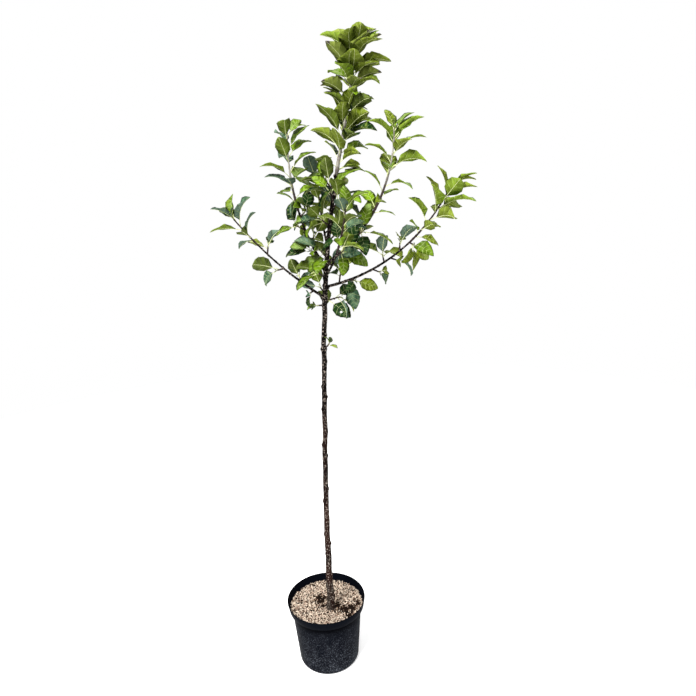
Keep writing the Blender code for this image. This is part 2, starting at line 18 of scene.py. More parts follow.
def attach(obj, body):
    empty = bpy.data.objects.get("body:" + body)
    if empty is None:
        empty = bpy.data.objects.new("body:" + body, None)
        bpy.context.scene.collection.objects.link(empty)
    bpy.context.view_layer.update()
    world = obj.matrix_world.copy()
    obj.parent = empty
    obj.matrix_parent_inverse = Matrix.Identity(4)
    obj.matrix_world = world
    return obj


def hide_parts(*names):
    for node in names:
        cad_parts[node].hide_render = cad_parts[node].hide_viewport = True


bl_info = {
    "name": "Potted apple tree",
    "version": (1, 0, 0),
    "blender": (4, 5, 0),
    "location": "View3D > Sidebar > Apple tree",
    "description": "Bark, leaves, fruitlet, pot and top dressing of a young apple tree",
    "category": "Object",
}

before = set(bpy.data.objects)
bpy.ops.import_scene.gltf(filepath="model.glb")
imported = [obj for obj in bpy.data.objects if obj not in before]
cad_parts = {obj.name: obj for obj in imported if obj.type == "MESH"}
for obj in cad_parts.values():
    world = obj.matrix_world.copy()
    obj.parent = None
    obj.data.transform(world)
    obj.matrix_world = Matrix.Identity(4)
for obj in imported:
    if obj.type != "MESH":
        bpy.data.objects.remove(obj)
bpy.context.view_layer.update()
EAST = Vector((1, 0, 0))
NORTH = Vector((0, 1, 0))
UP = Vector((0, 0, 1))
MASS_WORDS = ("shoot", "sprout", "spur", "leader")
MASSES = [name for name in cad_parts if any(word in name for word in MASS_WORDS)]
LIMB_NODES = [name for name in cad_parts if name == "trunk" or name.startswith("bough_")]

# Pot, as in the solids
RIM_RADIUS = 0.140
POT_HEIGHT = 0.240
BAND_HEIGHT = 0.031
BAND_FOOT_HEIGHT = POT_HEIGHT - BAND_HEIGHT
BAND_FOOT_RADIUS = 0.1345
BODY_TOP_RADIUS = 0.1250
BODY_FOOT_RADIUS = 0.1080
FOOT_CORNER = 0.012
WALL = 0.0022
LIP = WALL / 2
LIP_STEPS = 8
CORNER_STEPS = 6
BAND_EDGE = 0.0008
BODY_EDGE = 0.0006
BODY_SHOULDER = 0.008
SHARP_ANGLE = 38
DRAIN_HOLES = 8
DRAIN_RADIUS = 0.006
DRAIN_CIRCLE = 0.075
DRAIN_SIDES = 32
COMPOST_TOP = 0.2045
DRESSING_TOP = 0.2125

# Trunk and leader, from the flat cut on the compost to the growing tip
TRUNK_LINE = (
    (0.0170, -0.0270, 0.2048),
    (0.0170, -0.0268, 0.2300),
    (0.0180, -0.0230, 0.350),
    (0.0220, -0.0180, 0.600),
    (0.0330, -0.0110, 0.880),
    (0.0480, -0.0050, 1.180),
    (0.0620, 0.0000, 1.360),
    (0.0830, 0.0040, 1.525),
    (0.1130, 0.0060, 1.690),
    (0.1490, 0.0040, 1.850),
    (0.1730, 0.0000, 1.965),
    (0.1830, -0.0020, 2.045),
)
TRUNK_RADII = (
    (0.205, 0.0098),
    (0.60, 0.0078),
    (1.36, 0.0069),
    (1.70, 0.0046),
    (1.90, 0.0030),
    (2.05, 0.0014),
)
FLARE = 0.0046
FLARE_HEIGHT = 0.016
TRUNK_END_HEIGHT = 1.700
LEADER_JOINT_HEIGHT = 1.875
TRUNK_STEPS = 30
TRUNK_BUNCH = 1.8
LEADER_STEPS = 9
LEADER_LEAVES = (17, 22)
LEADER_BLADES = (0.072, 0.072)
LEADER_PHASES = (330, 280)
LEADER_BARE = 0.02

# Fits of the solids, and how many steps their limbs have
GAP = 0.0003
LEAF_CLEARANCE = 0.0010
SEAT_STEP = 0.00005
SLOPE_REACH = 0.005
SAME_POINT = 1e-6
NEAR_POINT = 1e-5
RIM_STEPS = 4
LIMB_SIDES = 8
LEADER_SIDES = 5
TWIG_SIDES = 3
TWIG_RADIUS = 0.0021
TWIG_TIP_RADIUS = 0.0013
LIMB_STEPS = 20
SPUR_STEPS = 4
SHOOT_BARE = 0.04
SPUR_BARE = 0.35

# Leaves: the spiral that they stand in, how far they lean from the stem at its foot and its tip, how
# much they reach up, and each blade's width, bow and fold, in shares of its length and in degrees
GOLDEN_ANGLE = 137.5
LAST_LEAF = 0.98
LEAN_FOOT = 62
LEAN_TIP = 28
REACH = 0.15
UPPER_INWARD = 0.65
UPPER_UPWARD = 0.50
LEAF_THICKNESS = 0.0010
PETIOLE_RADIUS = 0.0009
PETIOLE_SHARE = 0.28
WIDTH_SHARE = 0.66
BOW = 52
FOLD = 24
FOOT_SIZE = 0.78
MIDDLE_SIZE = 1.22
SIZE_FALL = 0.86
SIZE_CURVE = 1.5
HULL_ROWS = ((0.20, 0.78), (0.48, 1.00), (0.78, 0.62))
TURNS = (0, 24, -24, 48, -48, 75, -75)

# How much chance changes each leaf: its turn round the stem, its lean, size, bow, fold and roll
CHANCES = ((-16, 16), (-8, 12), (0.84, 1.12), (-22, 26), (-8, 12), (-42, 42))
SEED = 12
NAME_SEED = 7

# Fruitlet, on a stalk from the end of its spur
FRUIT_SPUR = "fruit_spur"
FRUIT_RADIUS = 0.0105
FRUIT_STALK = 0.014
FRUIT_AZIMUTH = -60
FRUIT_RISE = -25

# Each limb: its height on the trunk, its heading and rise in degrees, how much it turns and lifts by
# its tip, its length and radii, the share that is bare bough, and its leafy end's leaves
Limb = namedtuple(
    "Limb",
    "name height azimuth turn rise lift bend length radius tip_radius bare leaves blade phase",
)
LIMBS = (
    Limb("low_left", 1.330, 190, 0, 36, 18, 1.0, 0.362, 0.0042, 0.0015, 0.70, 7, 0.060, 220),
    Limb("low_right", 1.364, 3, 0, 10, 52, 1.0, 0.500, 0.0046, 0.0015, 0.62, 14, 0.066, 260),
    Limb("left", 1.422, 158, 0, 55, 40, 0.85, 0.415, 0.0046, 0.0014, 0.44, 14, 0.066, 340),
    Limb("right", 1.438, -16, -4, 31, 58, 1.0, 0.450, 0.0046, 0.0014, 0.42, 15, 0.066, 290),
    Limb("front", 1.400, -66, 0, 30, 40, 1.0, 0.260, 0.0040, 0.0015, 0.45, 9, 0.066, 320),
    Limb("back", 1.485, 100, 0, 36, 38, 1.0, 0.280, 0.0040, 0.0015, 0.45, 9, 0.066, 150),
)

# Each spur: the limb that it stands on, its place there (a height on the trunk, or 0 to 1 along a
# bough), its heading, rise and lift in degrees, its length, its leaves, and how far they reach up (+)
# or hang (-)
Spur = namedtuple("Spur", "name limb place azimuth rise lift length leaves blade phase reach")
SPURS = (
    Spur("trunk_sprout", "trunk", 1.165, -15, 40, 20, 0.014, 3, 0.018, 230, 0.2),
    Spur("trunk_spur_1", "trunk", 1.306, 190, 5, -10, 0.020, 2, 0.034, 20, -0.2),
    Spur("trunk_spur_2", "trunk", 1.318, -14, 18, -5, 0.046, 4, 0.060, 280, -0.5),
    Spur("trunk_spur_3", "trunk", 1.345, 120, 25, 0, 0.030, 3, 0.058, 90, -0.3),
    Spur("trunk_spur_4", "trunk", 1.392, 172, 35, 10, 0.034, 4, 0.062, 300, -0.2),
    Spur("trunk_spur_5", "trunk", 1.420, 55, 35, 10, 0.036, 4, 0.062, 280, -0.2),
    Spur("trunk_spur_6", "trunk", 1.455, -128, 35, 10, 0.030, 4, 0.062, 230, -0.1),
    Spur("trunk_spur_7", "trunk", 1.505, 15, 38, 10, 0.030, 5, 0.064, 10, 0),
    Spur("trunk_spur_8", "trunk", 1.548, 195, 40, 10, 0.026, 4, 0.064, 300, 0),
    Spur("trunk_spur_9", "trunk", 1.578, 75, 40, 10, 0.026, 4, 0.064, 20, 0),
    Spur("trunk_spur_10", "trunk", 1.602, -25, 36, 10, 0.030, 5, 0.064, 300, 0),
    Spur("trunk_spur_11", "trunk", 1.628, -110, 42, 10, 0.022, 3, 0.062, 220, 0),
    Spur("trunk_spur_12", "trunk", 1.655, 178, 45, 10, 0.026, 5, 0.068, 90, 0.1),
    Spur("fruit_spur", "trunk", 1.678, -35, 28, 0, 0.020, 3, 0.062, 10, 0),
    Spur("low_left_spur_1", "low_left", 0.12, 235, -10, 0, 0.014, 2, 0.034, 290, -0.4),
    Spur("low_left_spur_2", "low_left", 0.30, 120, 40, 0, 0.018, 2, 0.050, 50, 0),
    Spur("low_left_spur_3", "low_left", 0.58, 200, -10, 0, 0.016, 2, 0.062, 70, -0.1),
    Spur("low_left_spur_4", "low_left", 0.84, 80, 60, 0, 0.026, 3, 0.048, 10, 0.1),
    Spur("low_right_spur_1", "low_right", 0.12, 70, 60, 0, 0.040, 4, 0.058, 300, 0),
    Spur("low_right_spur_2", "low_right", 0.24, -60, 0, 0, 0.022, 3, 0.054, 230, -0.5),
    Spur("low_right_spur_3", "low_right", 0.50, -30, -20, 0, 0.018, 2, 0.050, 320, -0.1),
    Spur("low_right_spur_4", "low_right", 0.64, 100, 55, 0, 0.022, 3, 0.062, 70, 0),
    Spur("low_right_spur_5", "low_right", 0.72, -40, -15, 0, 0.022, 2, 0.056, 10, -0.2),
    Spur("low_right_spur_6", "low_right", 0.84, 80, 60, 0, 0.024, 2, 0.056, 130, 0.2),
    Spur("low_right_spur_7", "low_right", 0.97, -70, -10, 0, 0.026, 4, 0.060, 290, -0.55),
    Spur("left_spur_1", "left", 0.18, 230, 30, 0, 0.024, 4, 0.062, 80, -0.3),
    Spur("left_spur_2", "left", 0.42, 60, 40, 0, 0.022, 4, 0.062, 310, 0),
    Spur("left_spur_3", "left", 0.64, 190, 30, 0, 0.022, 4, 0.062, 0, 0),
    Spur("left_spur_4", "left", 0.88, 320, 30, 0, 0.020, 3, 0.062, 240, 0),
    Spur("right_spur_1", "right", 0.22, -80, 10, 0, 0.026, 4, 0.062, 10, -0.4),
    Spur("right_spur_2", "right", 0.45, 60, 30, 0, 0.024, 4, 0.062, 230, 0),
    Spur("right_spur_3", "right", 0.68, -60, 20, 0, 0.022, 4, 0.062, 80, -0.2),
    Spur("right_spur_4", "right", 0.90, 120, 40, 0, 0.020, 3, 0.062, 90, 0.1),
    Spur("front_spur_1", "front", 0.45, -150, 30, 0, 0.020, 3, 0.060, 170, 0),
    Spur("front_spur_2", "front", 0.85, 0, 30, 0, 0.020, 3, 0.060, 70, 0),
    Spur("back_spur_1", "back", 0.45, 20, 30, 0, 0.020, 3, 0.062, 340, 0),
    Spur("back_spur_2", "back", 0.85, 170, 30, 0, 0.020, 3, 0.062, 260, 0),
)

# The tints of leaves, the one with cold undersides and the dark one, how much painted sheen lies in pale
# patches on the rest and on the dark one, and how far undersides and side veins are paler than the leaf
TINTS = ("lime", "olive", "green", "deep", "blue")
FROSTED_TINT = "blue"
# The dark tint is partly the leaves' own deep green and partly painted shade for the leaves inside the
# crown.
DARK_TINT = "deep"
PAINTED_SHEEN = 0.6
DARK_PAINTED_SHEEN = 0.12
UNDERSIDE_SHARE = 0.45
VEIN_SHARE = 0.24

# Which tints each spray's leaves are dealt from, by the start of its name
SPRAY_TINTS = (
    ("leader_tip", ("olive", "olive", "lime", "olive", "green")),
    ("leader_foot", ("olive", "green", "olive", "deep")),
    ("right_shoot", ("lime", "lime", "olive", "green")),
    ("low_right_shoot", ("olive", "lime", "olive")),
    ("low_right_spur_7", ("olive", "green", "olive")),
    ("low_right", ("blue", "olive", "deep")),
    ("left_shoot", ("green", "lime", "green", "blue")),
    ("low_left_shoot", ("blue", "deep", "blue", "green")),
    ("low_left", ("deep", "blue", "deep", "green")),
    ("trunk_sprout", ("olive", "deep", "green")),
    ("trunk_spur_1", ("deep", "green", "lime")),
    ("trunk_spur_2", ("green", "deep", "blue", "olive")),
    ("trunk", ("green", "deep", "blue", "green")),
    ("", ("green", "deep", "green", "blue")),
)

# How much larger each spray's finer blades are than its solids', by the start of its name, and the
# leaves that stand between those: the share of the stem where each grows, and the way that it faces
FULLNESS = (
    ("leader_tip", 1.12, (
        (0.92, 10), (0.78, -20), (0.70, -75), (0.58, 5), (0.45, -110), (0.34, 20),
        (0.20, 200), (0.10, -20), (0.76, -115), (0.50, -85), (0.28, -75),
    )),
    ("leader_foot", 1.12, (
        (0.90, 185), (0.66, 15), (0.45, -60), (0.20, -20), (0.08, 10), (0.82, -85),
    )),
    ("right_shoot", 1.12, ((0.95, 10), (0.84, -10), (0.72, 0), (0.55, 20))),
    ("left_shoot", 1.05, ((0.95, 30), (0.30, 185))),
    ("low_right_shoot", 1.15, ((0.97, 0), (0.80, -30), (0.60, -40))),
    ("low_left_shoot", 1.12, ((0.85, 60),)),
    ("low", 1.08, ()),
    ("trunk_sprout", 1.4, ()),
    ("", 1.03, ()),
)

# The finer leaf: where its side veins leave the midrib and how wide they are, in shares of its length,
# the columns of its upper and lower skins, its outline, teeth, curl and waves, its stalk and midrib, and
# the young leaves that end a spray
VEIN_PLACES = (0.12, 0.29, 0.46, 0.63, 0.79)
VEIN_HALF_WIDTH = 0.010
TIP_ROW = 0.90
VEIN_EDGES = [place + side for place in VEIN_PLACES for side in (-VEIN_HALF_WIDTH, VEIN_HALF_WIDTH)]
BLADE_LINES = (0.0, *VEIN_EDGES, TIP_ROW, 1.0)
UPPER_COLUMNS = 4
LOWER_COLUMNS = 2
BLADE_THICKNESS = 0.0005
VEIN_SLANT = 0.18
WIDEST_EARLY = 0.86
OUTLINE_FULLNESS = 0.72
TIP_PINCH = 0.28
TOOTH = 0.03
TOOTH_START = 0.9
CURL = 0.35
WAVES = 1.7
STALK_RINGS = 7
STALK_SIDES = 4
STALK_RADIUS = 0.0012
STALK_FOOT = 1.25
STALK_FALL = 0.45
STALK_ARCH = 0.10
STOUT_STALK_BLADE = 0.05
MIDRIB_RADIUS = STALK_RADIUS * 0.8
MIDRIB_END_RADIUS = 0.0004
MIDRIB_REACH = 0.97
MIDRIB_SINK = 0.35
YOUNG_SIZES = (0.46, 0.34, 0.24, 0.18)
SPUR_YOUNG = 2
YOUNG_LEAN = 24
YOUNG_SWAY = 6
YOUNG_STALK = 0.2
YOUNG_WIDTH = 0.46
YOUNG_BOW = 30
YOUNG_FOLD = 44
YOUNG_STEP = 0.002
BROWN_TIP_SPRAYS = ("leader_tip", "low_left_spur_4")
BROWN_TIP_STEP = 4

# The leaf that an insect has holed: its spray, which of its leaves it stands in for, its place on the
# stem, the azimuth and rise of its stalk and of its upper side, its stalk, size, bow and fold, and the
# hole's place, radius and sides
HOLED_SPRAY = "trunk_spur_2"
HOLED_NUMBER = 0
HOLED_ROOT = 0.10
HOLED_WAY = (-42, -24)
HOLED_FACING = (-102, 38)
HOLED_STALK = 0.024
HOLED_SIZE = (0.072, 0.052)
HOLED_BOW = 34
HOLED_FOLD = 14
HOLE_SHARE = 0.53
HOLE_ASIDE = 0.007
HOLE_RADIUS = 0.0044
HOLE_SIDES = 14

# Stems of the sprays: how far a stem reaches into its limb, its rings and sides, how it swells all along
# and under each leaf, ripples and narrows at its tip, and which are this year's growth and turn pale
# between two heights
STEM_ROOT = 0.005
STEM_RING = 0.002
STEM_SIDES = 8
STEM_SWELL = 1.25
JOINT_SWELL = 0.0006
JOINT_LENGTH = 0.0022
STEM_RIPPLE = 0.00025
STEM_RIPPLE_RATE = 160
STEM_TIP_LENGTH = 0.0015
STEM_TIP_SHARE = 0.25
YOUNG_STEMS = ("leader", "left_shoot", "right_shoot")
PALE_STEM_HEIGHTS = (1.62, 1.76)

# Buds: their sizes, how wide, thick and long each is for its size, how each leans between the stem and
# the leaf's stalk, and how far out and up from the stalk's root it sits
BUD_SIZES = (0.0011, 0.0017)
BUD_SHAPE = (1, 0.8, 2.1)
BUD_ALONG = 0.8
BUD_ASIDE = 0.6
BUD_OUT = 0.0028
BUD_UP = 0.0030

# Bark: rings and sides of the trunk and boughs, and the old bud scars that swell them, with how much
# larger they are under boughs and smaller under spurs
TRUNK_RING = 0.003
TRUNK_SIDES = 28
BOUGH_RING = 0.0025
BOUGH_SIDES = 14
SCAR_FIRST = 0.262
SCAR_STEP = 0.041
SCAR_UNEVENNESS = 0.25
SCAR_BEAT = 2.4
SCAR_LENGTH = 0.0052
SCAR_REACH = SCAR_LENGTH * 3
SCAR_SPREAD = 0.75
BOUGH_SCAR = 1.6
COLLAR_DROP = 0.002
SPUR_SCAR = 0.8

# How often the trunk bends, how soon its ends are still, how fine and how wide its ripples are, its root
# ridges, and how much stouter it is at the foot and low down
BEND_RATE = 13
STILL_END = 0.05
RIPPLE_RATE = 95
RIPPLE_WIDTH = 1.2
FINE_RATE = 2.7
FINE_SHARE = 0.6
SLOW_RATE = 18
SLOW_WIDTH = 0.8
SLOW_SHARE = 1.4
ROOT_RIDGES = 5
RIDGE_DEPTH = 0.16
RIDGE_HEIGHT = FLARE_HEIGHT * 1.3
RIDGE_TURN = 0.8
FOOT_SWELL = 0.0024
FOOT_SWELL_HEIGHT = 0.07
LOW_SWELL = 0.0018
LOW_SWELL_HEIGHT = 1.2

# How far apart a bough's bud scars are, how high they are for the trunk's and how short, its ripples,
# and how deep it starts in the trunk and swells there
BOUGH_SCAR_STEP = 0.027
BOUGH_SCAR_SHARE = 0.42
BOUGH_SCAR_EDGE = 8
BOUGH_RIPPLE_RATE = 120
BOUGH_RIPPLE_WIDTH = 1.1
BOUGH_FINE_RATE = 2.6
BOUGH_FINE_SHARE = 0.5
BOUGH_RELIEF = 0.6
BOUGH_ROOT = TRUNK_RADII[1][1] * 0.8
COLLAR = 0.45
COLLAR_LENGTH = 0.010

# Fruitlet's skin: rings and sides, dents at its stalk and calyx as depth and width, lobes, and the sepals
# of the calyx as points out from its middle and along the fruitlet
FRUIT_RINGS = 24
FRUIT_SIDES = 32
STALK_DENT = (0.22, 0.45)
CALYX_DENT = (0.16, 0.40)
FRUIT_LOBES = 0.03
SEPALS = 5
SEPAL_LINE = ((0.0008, 0.0), (0.0022, 0.0016), (0.0026, 0.0034))

# Top dressing: the bed's rings and sides, the share of its line that lies underneath, how far it lies
# under the dressing's top, its roughness and its dips
BED_RINGS = 66
BED_SIDES = 120
BED_UNDERSIDE = 0.12
BED_DROP = 0.0022
BED_ROUGHNESS = 0.0009
BARE_DIP = 0.002
GRIT_RATE = 160
PATCH_RATE = 60

# Granules: their clear ring round the trunk, distance from the wall for their size, kinds and shares,
# sizes, lumps, depths and thicknesses for their width, heights, and how crumbs take their place where
# the compost is bare
TRUNK_CLEARANCE = 0.0135
WALL_DISTANCE = 0.45
GRANULE_KINDS = ("cream", "tan", "pink")
GRANULE_SHARES = (0.62, 0.2, 0.18)
GRANULE_SIZES = (0.55, 1.25)
GRANULE_LUMPS = (0.72, 1.18)
GRANULE_DEPTHS = (0.6, 1.0)
GRANULE_THICKNESSES = (0.5, 0.85)
GRANULE_HEIGHTS = (-0.0012, 0.0016)
BARE_CHANCES = (0.25, 0.75)
BARE_SINK = 0.0008
CRUMB_SIZE = 0.8

# Where damp compost shows through the granules: how much and how unevenly, and places and reach
BARE_SHARE = 0.85
BARE_UNEVENNESS = 0.6
BARE_SPOTS = (
    (-0.022, 0.020, 0.026),
    (-0.034, 0.037, 0.020),
    (-0.008, -0.008, 0.014),
    (0.038, -0.017, 0.018),
    (0.063, -0.036, 0.028),
    (0.088, -0.036, 0.024),
    (0.081, -0.066, 0.018),
    (0.112, -0.008, 0.016),
    (-0.047, 0.100, 0.012),
)

# Camera: the photograph's place and angle, for a picture 696 pixels square
PICTURE_SIZE = 696
FOCAL_PIXELS = 560
SENSOR_WIDTH = 36
CAMERA_PLACE = (0.124, -1.757, 1.596)
CAMERA_PITCH = -13.85
CAMERA_ROLL = -2.86

# Stage: floor and backdrop, and each lamp's name, place, size and share of the main lamp's power
FLOOR_RADIUS = 4.0
FLOOR_SIDES = 128
FLOOR_GLOW = 0.18
WHITE = (1.0, 1.0, 1.0, 1.0)
LAMP_TARGET = (0.05, 0, 1.3)
LAMPS = (
    ("key", (-1.6, -2.4, 4.2), 1.6, 1.0),
    ("fill", (2.4, -1.8, 2.4), 2.2, 0.12),
    ("rim", (1.0, 2.6, 3.6), 1.8, 0.10),
)


# Settings that a user would change


def tone(name, description, default):
    """A setting that holds a colour."""
    return FloatVectorProperty(
        name=name, description=description, subtype="COLOR", default=default, min=0, max=1,
    )


def span(name, description, default, high):
    """A setting that holds a length in metres, up to a highest one."""
    return FloatProperty(
        name=name, description=description, unit="LENGTH", default=default, min=0, max=high,
    )


class BarkSettings(bpy.types.PropertyGroup):
    """Colours and relief of the trunk and boughs"""

    dark: tone("Dark bark", "Colour of the trunk between its scars", (0.0026, 0.0018, 0.0016))
    pale: tone("Pale bark", "Colour of the weathered skin and the scars", (0.250, 0.208, 0.178))
    red: tone("Red bark", "Tinge of the lower trunk", (0.017, 0.0058, 0.0038))
    relief: span("Relief", "Height of the ripples in the bark", 0.0006, 0.002)
    scar: span("Scar", "Height of the old bud scars", 0.0038, 0.006)
    thickness: span("Thickness", "How far the bark stands out from the solid trunk", 0.0008, 0.003)
    wander: span("Wander", "How far the trunk bends from scar to scar", 0.0034, 0.005)


class LeafSettings(bpy.types.PropertyGroup):
    """Colours of leaves and young wood, and how uneven a blade is"""

    lime: tone("Lime", "Young leaves in full light", (0.108, 0.186, 0.005))
    olive: tone("Olive", "Leaves of the leader", (0.104, 0.144, 0.006))
    green: tone("Green", "Full-grown leaves", (0.064, 0.112, 0.003))
    # Deep green is partly the leaves' own colour and partly painted shade for the leaves inside the crown.
    deep: tone("Deep green", "Leaves inside the crown", (0.006, 0.026, 0.0025))
    blue: tone("Blue green", "Leaves that show a cold sheen", (0.034, 0.076, 0.040))
    down: tone("Down", "The pale down on the undersides", (0.168, 0.208, 0.038))
    frost: tone("Frost", "The undersides of leaves inside the crown", (0.140, 0.190, 0.150))
    vein: tone("Veins", "Leaf stalks and midribs", (0.50, 0.54, 0.25))
    stem: tone("Young stem", "Skin of this year's growth", (0.24, 0.23, 0.195))
    twig: tone("Twig", "Skin of older twigs and spurs", (0.016, 0.010, 0.009))
    wave: FloatProperty(
        name="Wave", description="Ripple of a leaf's edge, as a share of its half width",
        default=0.12, min=0, max=0.5,
    )
    pleat: span("Pleat", "Depth of the side veins", 0.0005, 0.002)


class PotSettings(bpy.types.PropertyGroup):
    """Colours of the pot, and how round it is"""

    plastic: tone("Plastic", "Colour of the pot", (0.0018, 0.0024, 0.0042))
    dust: tone("Dust", "Colour of the dried splashes on the pot", (0.060, 0.066, 0.078))
    steps: IntProperty(
        name="Steps", description="Sides of the round pot", default=144, min=32, max=256,
    )


class DressingSettings(bpy.types.PropertyGroup):
    """Number, size and colours of the granules, and the compost's colour"""

    count: IntProperty(
        name="Granules", description="How many granules lie on the compost",
        default=5200, min=500, max=9000,
    )
    size: FloatProperty(
        name="Granule", description="Width of a usual granule", unit="LENGTH",
        default=0.0046, min=0.002, max=0.01,
    )
    cream: tone("Cream", "Palest granules", (0.56, 0.46, 0.36))
    tan: tone("Tan", "Tan granules", (0.150, 0.092, 0.054))
    pink: tone("Pink", "Pinkish granules", (0.260, 0.165, 0.120))
    compost: tone("Compost", "Damp compost between the granules", (0.0085, 0.0038, 0.0017))


class StageSettings(bpy.types.PropertyGroup):
    """Floor, and strength of the lights"""

    floor: tone("Floor", "Colour of the floor and backdrop", (0.92, 0.92, 0.92))
    sky: FloatProperty(
        name="Sky", description="Strength of the light from all round", default=0.7, min=0, max=5,
    )
    lamp: FloatProperty(
        name="Lamp", description="Power of the main soft light", unit="POWER",
        default=470, min=0, max=1000,
    )


# Materials


class Value:
    """A number that varies over a surface, as a node's output, with Python's operators."""

    def __init__(self, paint, socket):
        self.paint = paint
        self.socket = socket

    def math(self, operation, *numbers):
        """The result of a Math node on these numbers."""
        made = self.paint.node("Math", {"operation": operation}, dict(enumerate(numbers)))
        return Value(self.paint, made.outputs[0])

    def __add__(self, other):
        return self.math("ADD", self, other)

    def __radd__(self, other):
        return self.math("ADD", other, self)

    def __sub__(self, other):
        return self.math("SUBTRACT", self, other)

    def __rsub__(self, other):
        return self.math("SUBTRACT", other, self)

    def __mul__(self, other):
        return self.math("MULTIPLY", self, other)

    def __rmul__(self, other):
        return self.math("MULTIPLY", other, self)

    def rise(self, low, high):
        """0 below the low value, 1 above the high one, and smooth between them."""
        settings = {"interpolation_type": "SMOOTHSTEP"}
        made = self.paint.node("MapRange", settings, {"Value": self, "From Min": low, "From Max": high})
        return Value(self.paint, made.outputs[0])


class Paint:
    """A Principled material, painted with nodes that read Object coordinates."""

    def __init__(self, name, constants):
        self.material = bpy.data.materials.new(name)
        self.material.use_nodes = True
        self.tree = self.material.node_tree
        self.shader = self.tree.nodes["Principled BSDF"]
        for socket, value in constants.items():
            self.shader.inputs[socket].default_value = value
        self.place = self.node("TexCoord", {}, {}).outputs["Object"]

    def node(self, kind, settings, values):
        """A node of this type, with its settings and then the values or links of its sockets."""
        made = self.tree.nodes.new("ShaderNode" + kind)
        for name, setting in settings.items():
            setattr(made, name, setting)
        for key, value in values.items():
            self.feed(made.inputs[key], value)
        return made

    def feed(self, socket, value):
        """Link a node's output to a socket, or set the socket to a number or colour."""
        if isinstance(value, Value):
            self.tree.links.new(value.socket, socket)
        elif isinstance(value, bpy.types.NodeSocket):
            self.tree.links.new(value, socket)
        elif isinstance(value, (int, float)):
            socket.default_value = value
        else:
            socket.default_value = (*value, 1.0)[: len(socket.default_value)]

    def stretched(self, scale):
        """Object coordinates, scaled along each axis."""
        return self.node("Mapping", {}, {"Vector": self.place, "Scale": scale}).outputs[0]

    def noise(self, scale, detail=3.0, roughness=0.55, place=None):
        """Soft lumps of this fineness."""
        values = {"Vector": place or self.place, "Scale": scale, "Detail": detail, "Roughness": roughness}
        return Value(self, self.node("TexNoise", {}, values).outputs["Fac"])

    def cells(self, scale, place=None):
        """Distance to the nearest of many scattered points."""
        made = self.node("TexVoronoi", {}, {"Vector": place or self.place, "Scale": scale})
        return Value(self, made.outputs["Distance"])

    def height(self):
        """Height above the ground."""
        made = self.node("SeparateXYZ", {}, {"Vector": self.place})
        return Value(self, made.outputs["Z"])

    def mix(self, first, second, share):
        """One colour laid over another by a share."""
        made = self.node("Mix", {"data_type": "RGBA"}, {0: share, 6: first, 7: second})
        return made.outputs[2]

    def colour(self, value):
        self.feed(self.shader.inputs["Base Color"], value)

    def roughness(self, value):
        self.feed(self.shader.inputs["Roughness"], value)

    def bump(self, height, distance, strength=1.0):
        made = self.node("Bump", {}, {"Height": height, "Distance": distance, "Strength": strength})
        self.feed(self.shader.inputs["Normal"], made.outputs[0])


def shade(colour, factor):
    """A lighter or darker colour."""
    return tuple(min(1.0, part * factor) for part in colour)


def blend(first, second, share):
    """A colour between two."""
    return tuple(a + (b - a) * share for a, b in zip(first, second))


def bark_paint(settings):
    """Grey-brown skin, darker and redder in patches, with pale breathing pores across it."""
    paint = Paint("bark", {"Roughness": 0.8, "Specular IOR Level": 0.02})
    patches = paint.noise(22, 4, 0.6, paint.stretched((1, 1, 0.45)))
    grain = paint.noise(300, 3, 0.65, paint.stretched((1, 1, 0.6)))
    flecks = paint.noise(200, 3, 0.6, paint.stretched((1, 1, 0.9)))
    rings = paint.noise(34, 2, 0.5, paint.stretched((0.35, 0.35, 1)))
    low = 1 - paint.height().rise(0.7, 1.15)
    foot = 1 - paint.height().rise(0.25, 0.42)
    colour = paint.mix(settings.dark, settings.red, low * patches.rise(0.35, 0.60) * 0.8)
    colour = paint.mix(colour, (0.050, 0.041, 0.034), foot * patches.rise(0.58, 0.42) * 0.7)
    colour = paint.mix(colour, settings.pale, patches.rise(0.52, 0.72) * 0.03)
    colour = paint.mix(colour, settings.pale, flecks.rise(0.565, 0.610) * (0.20 + patches))
    colour = paint.mix(colour, shade(settings.pale, 1.2), rings.rise(0.66, 0.72) * 0.8)
    colour = paint.mix(colour, shade(settings.dark, 0.5), grain.rise(0.53, 0.63) * 0.8)
    paint.colour(colour)
    paint.roughness(0.6 + grain * 0.3)
    paint.bump(grain * 0.6 + flecks * 0.4, 0.0012)
    return paint.material


def stem_paint(name, skin, twig):
    """Skin of young growth: pale down over mauve-brown, older and darker below the leader's foot."""
    paint = Paint(name, {"Roughness": 0.75, "Specular IOR Level": 0.08})
    down = paint.noise(260, 3)
    patches = paint.noise(38, 3)
    colour = paint.mix(skin, (0.055, 0.036, 0.036), patches.rise(0.42, 0.66) * 0.7)
    colour = paint.mix(colour, shade(skin, 1.6), down.rise(0.55, 0.75) * 0.6)
    paint.colour(paint.mix(shade(twig, 1.5), colour, paint.height().rise(*PALE_STEM_HEIGHTS)))
    paint.roughness(0.6 + down * 0.3)
    paint.bump(down, 0.0003)
    return paint.material


def leaf_paint(name, colour, sheen_share):
    """The upper skin of a leaf: glossy, lightly mottled and finely netted, with pale patches of painted
    sheen.
    """
    paint = Paint(name, {"Roughness": 0.5, "Specular IOR Level": 0.06})
    mottle = paint.noise(55, 3, 0.6)
    painted_sheen = paint.noise(24, 2)
    net = paint.cells(620)
    mixed = paint.mix(shade(colour, 0.40), shade(colour, 1.28), mottle.rise(0.32, 0.66))
    # Painted sheen: a pale sage laid over the leaf in broad noise patches, standing in for highlights on
    # its glossy skin.
    pale = blend(shade(colour, 1.8), (0.24, 0.29, 0.17), 0.38)
    mixed = paint.mix(mixed, pale, painted_sheen.rise(0.52, 0.66) * sheen_share)
    paint.colour(paint.mix(mixed, shade(colour, 0.7), net.rise(0.35, 0.75) * 0.35))
    paint.roughness(0.42 + mottle * 0.2)
    paint.bump(net, 0.00018, 0.8)
    return paint.material
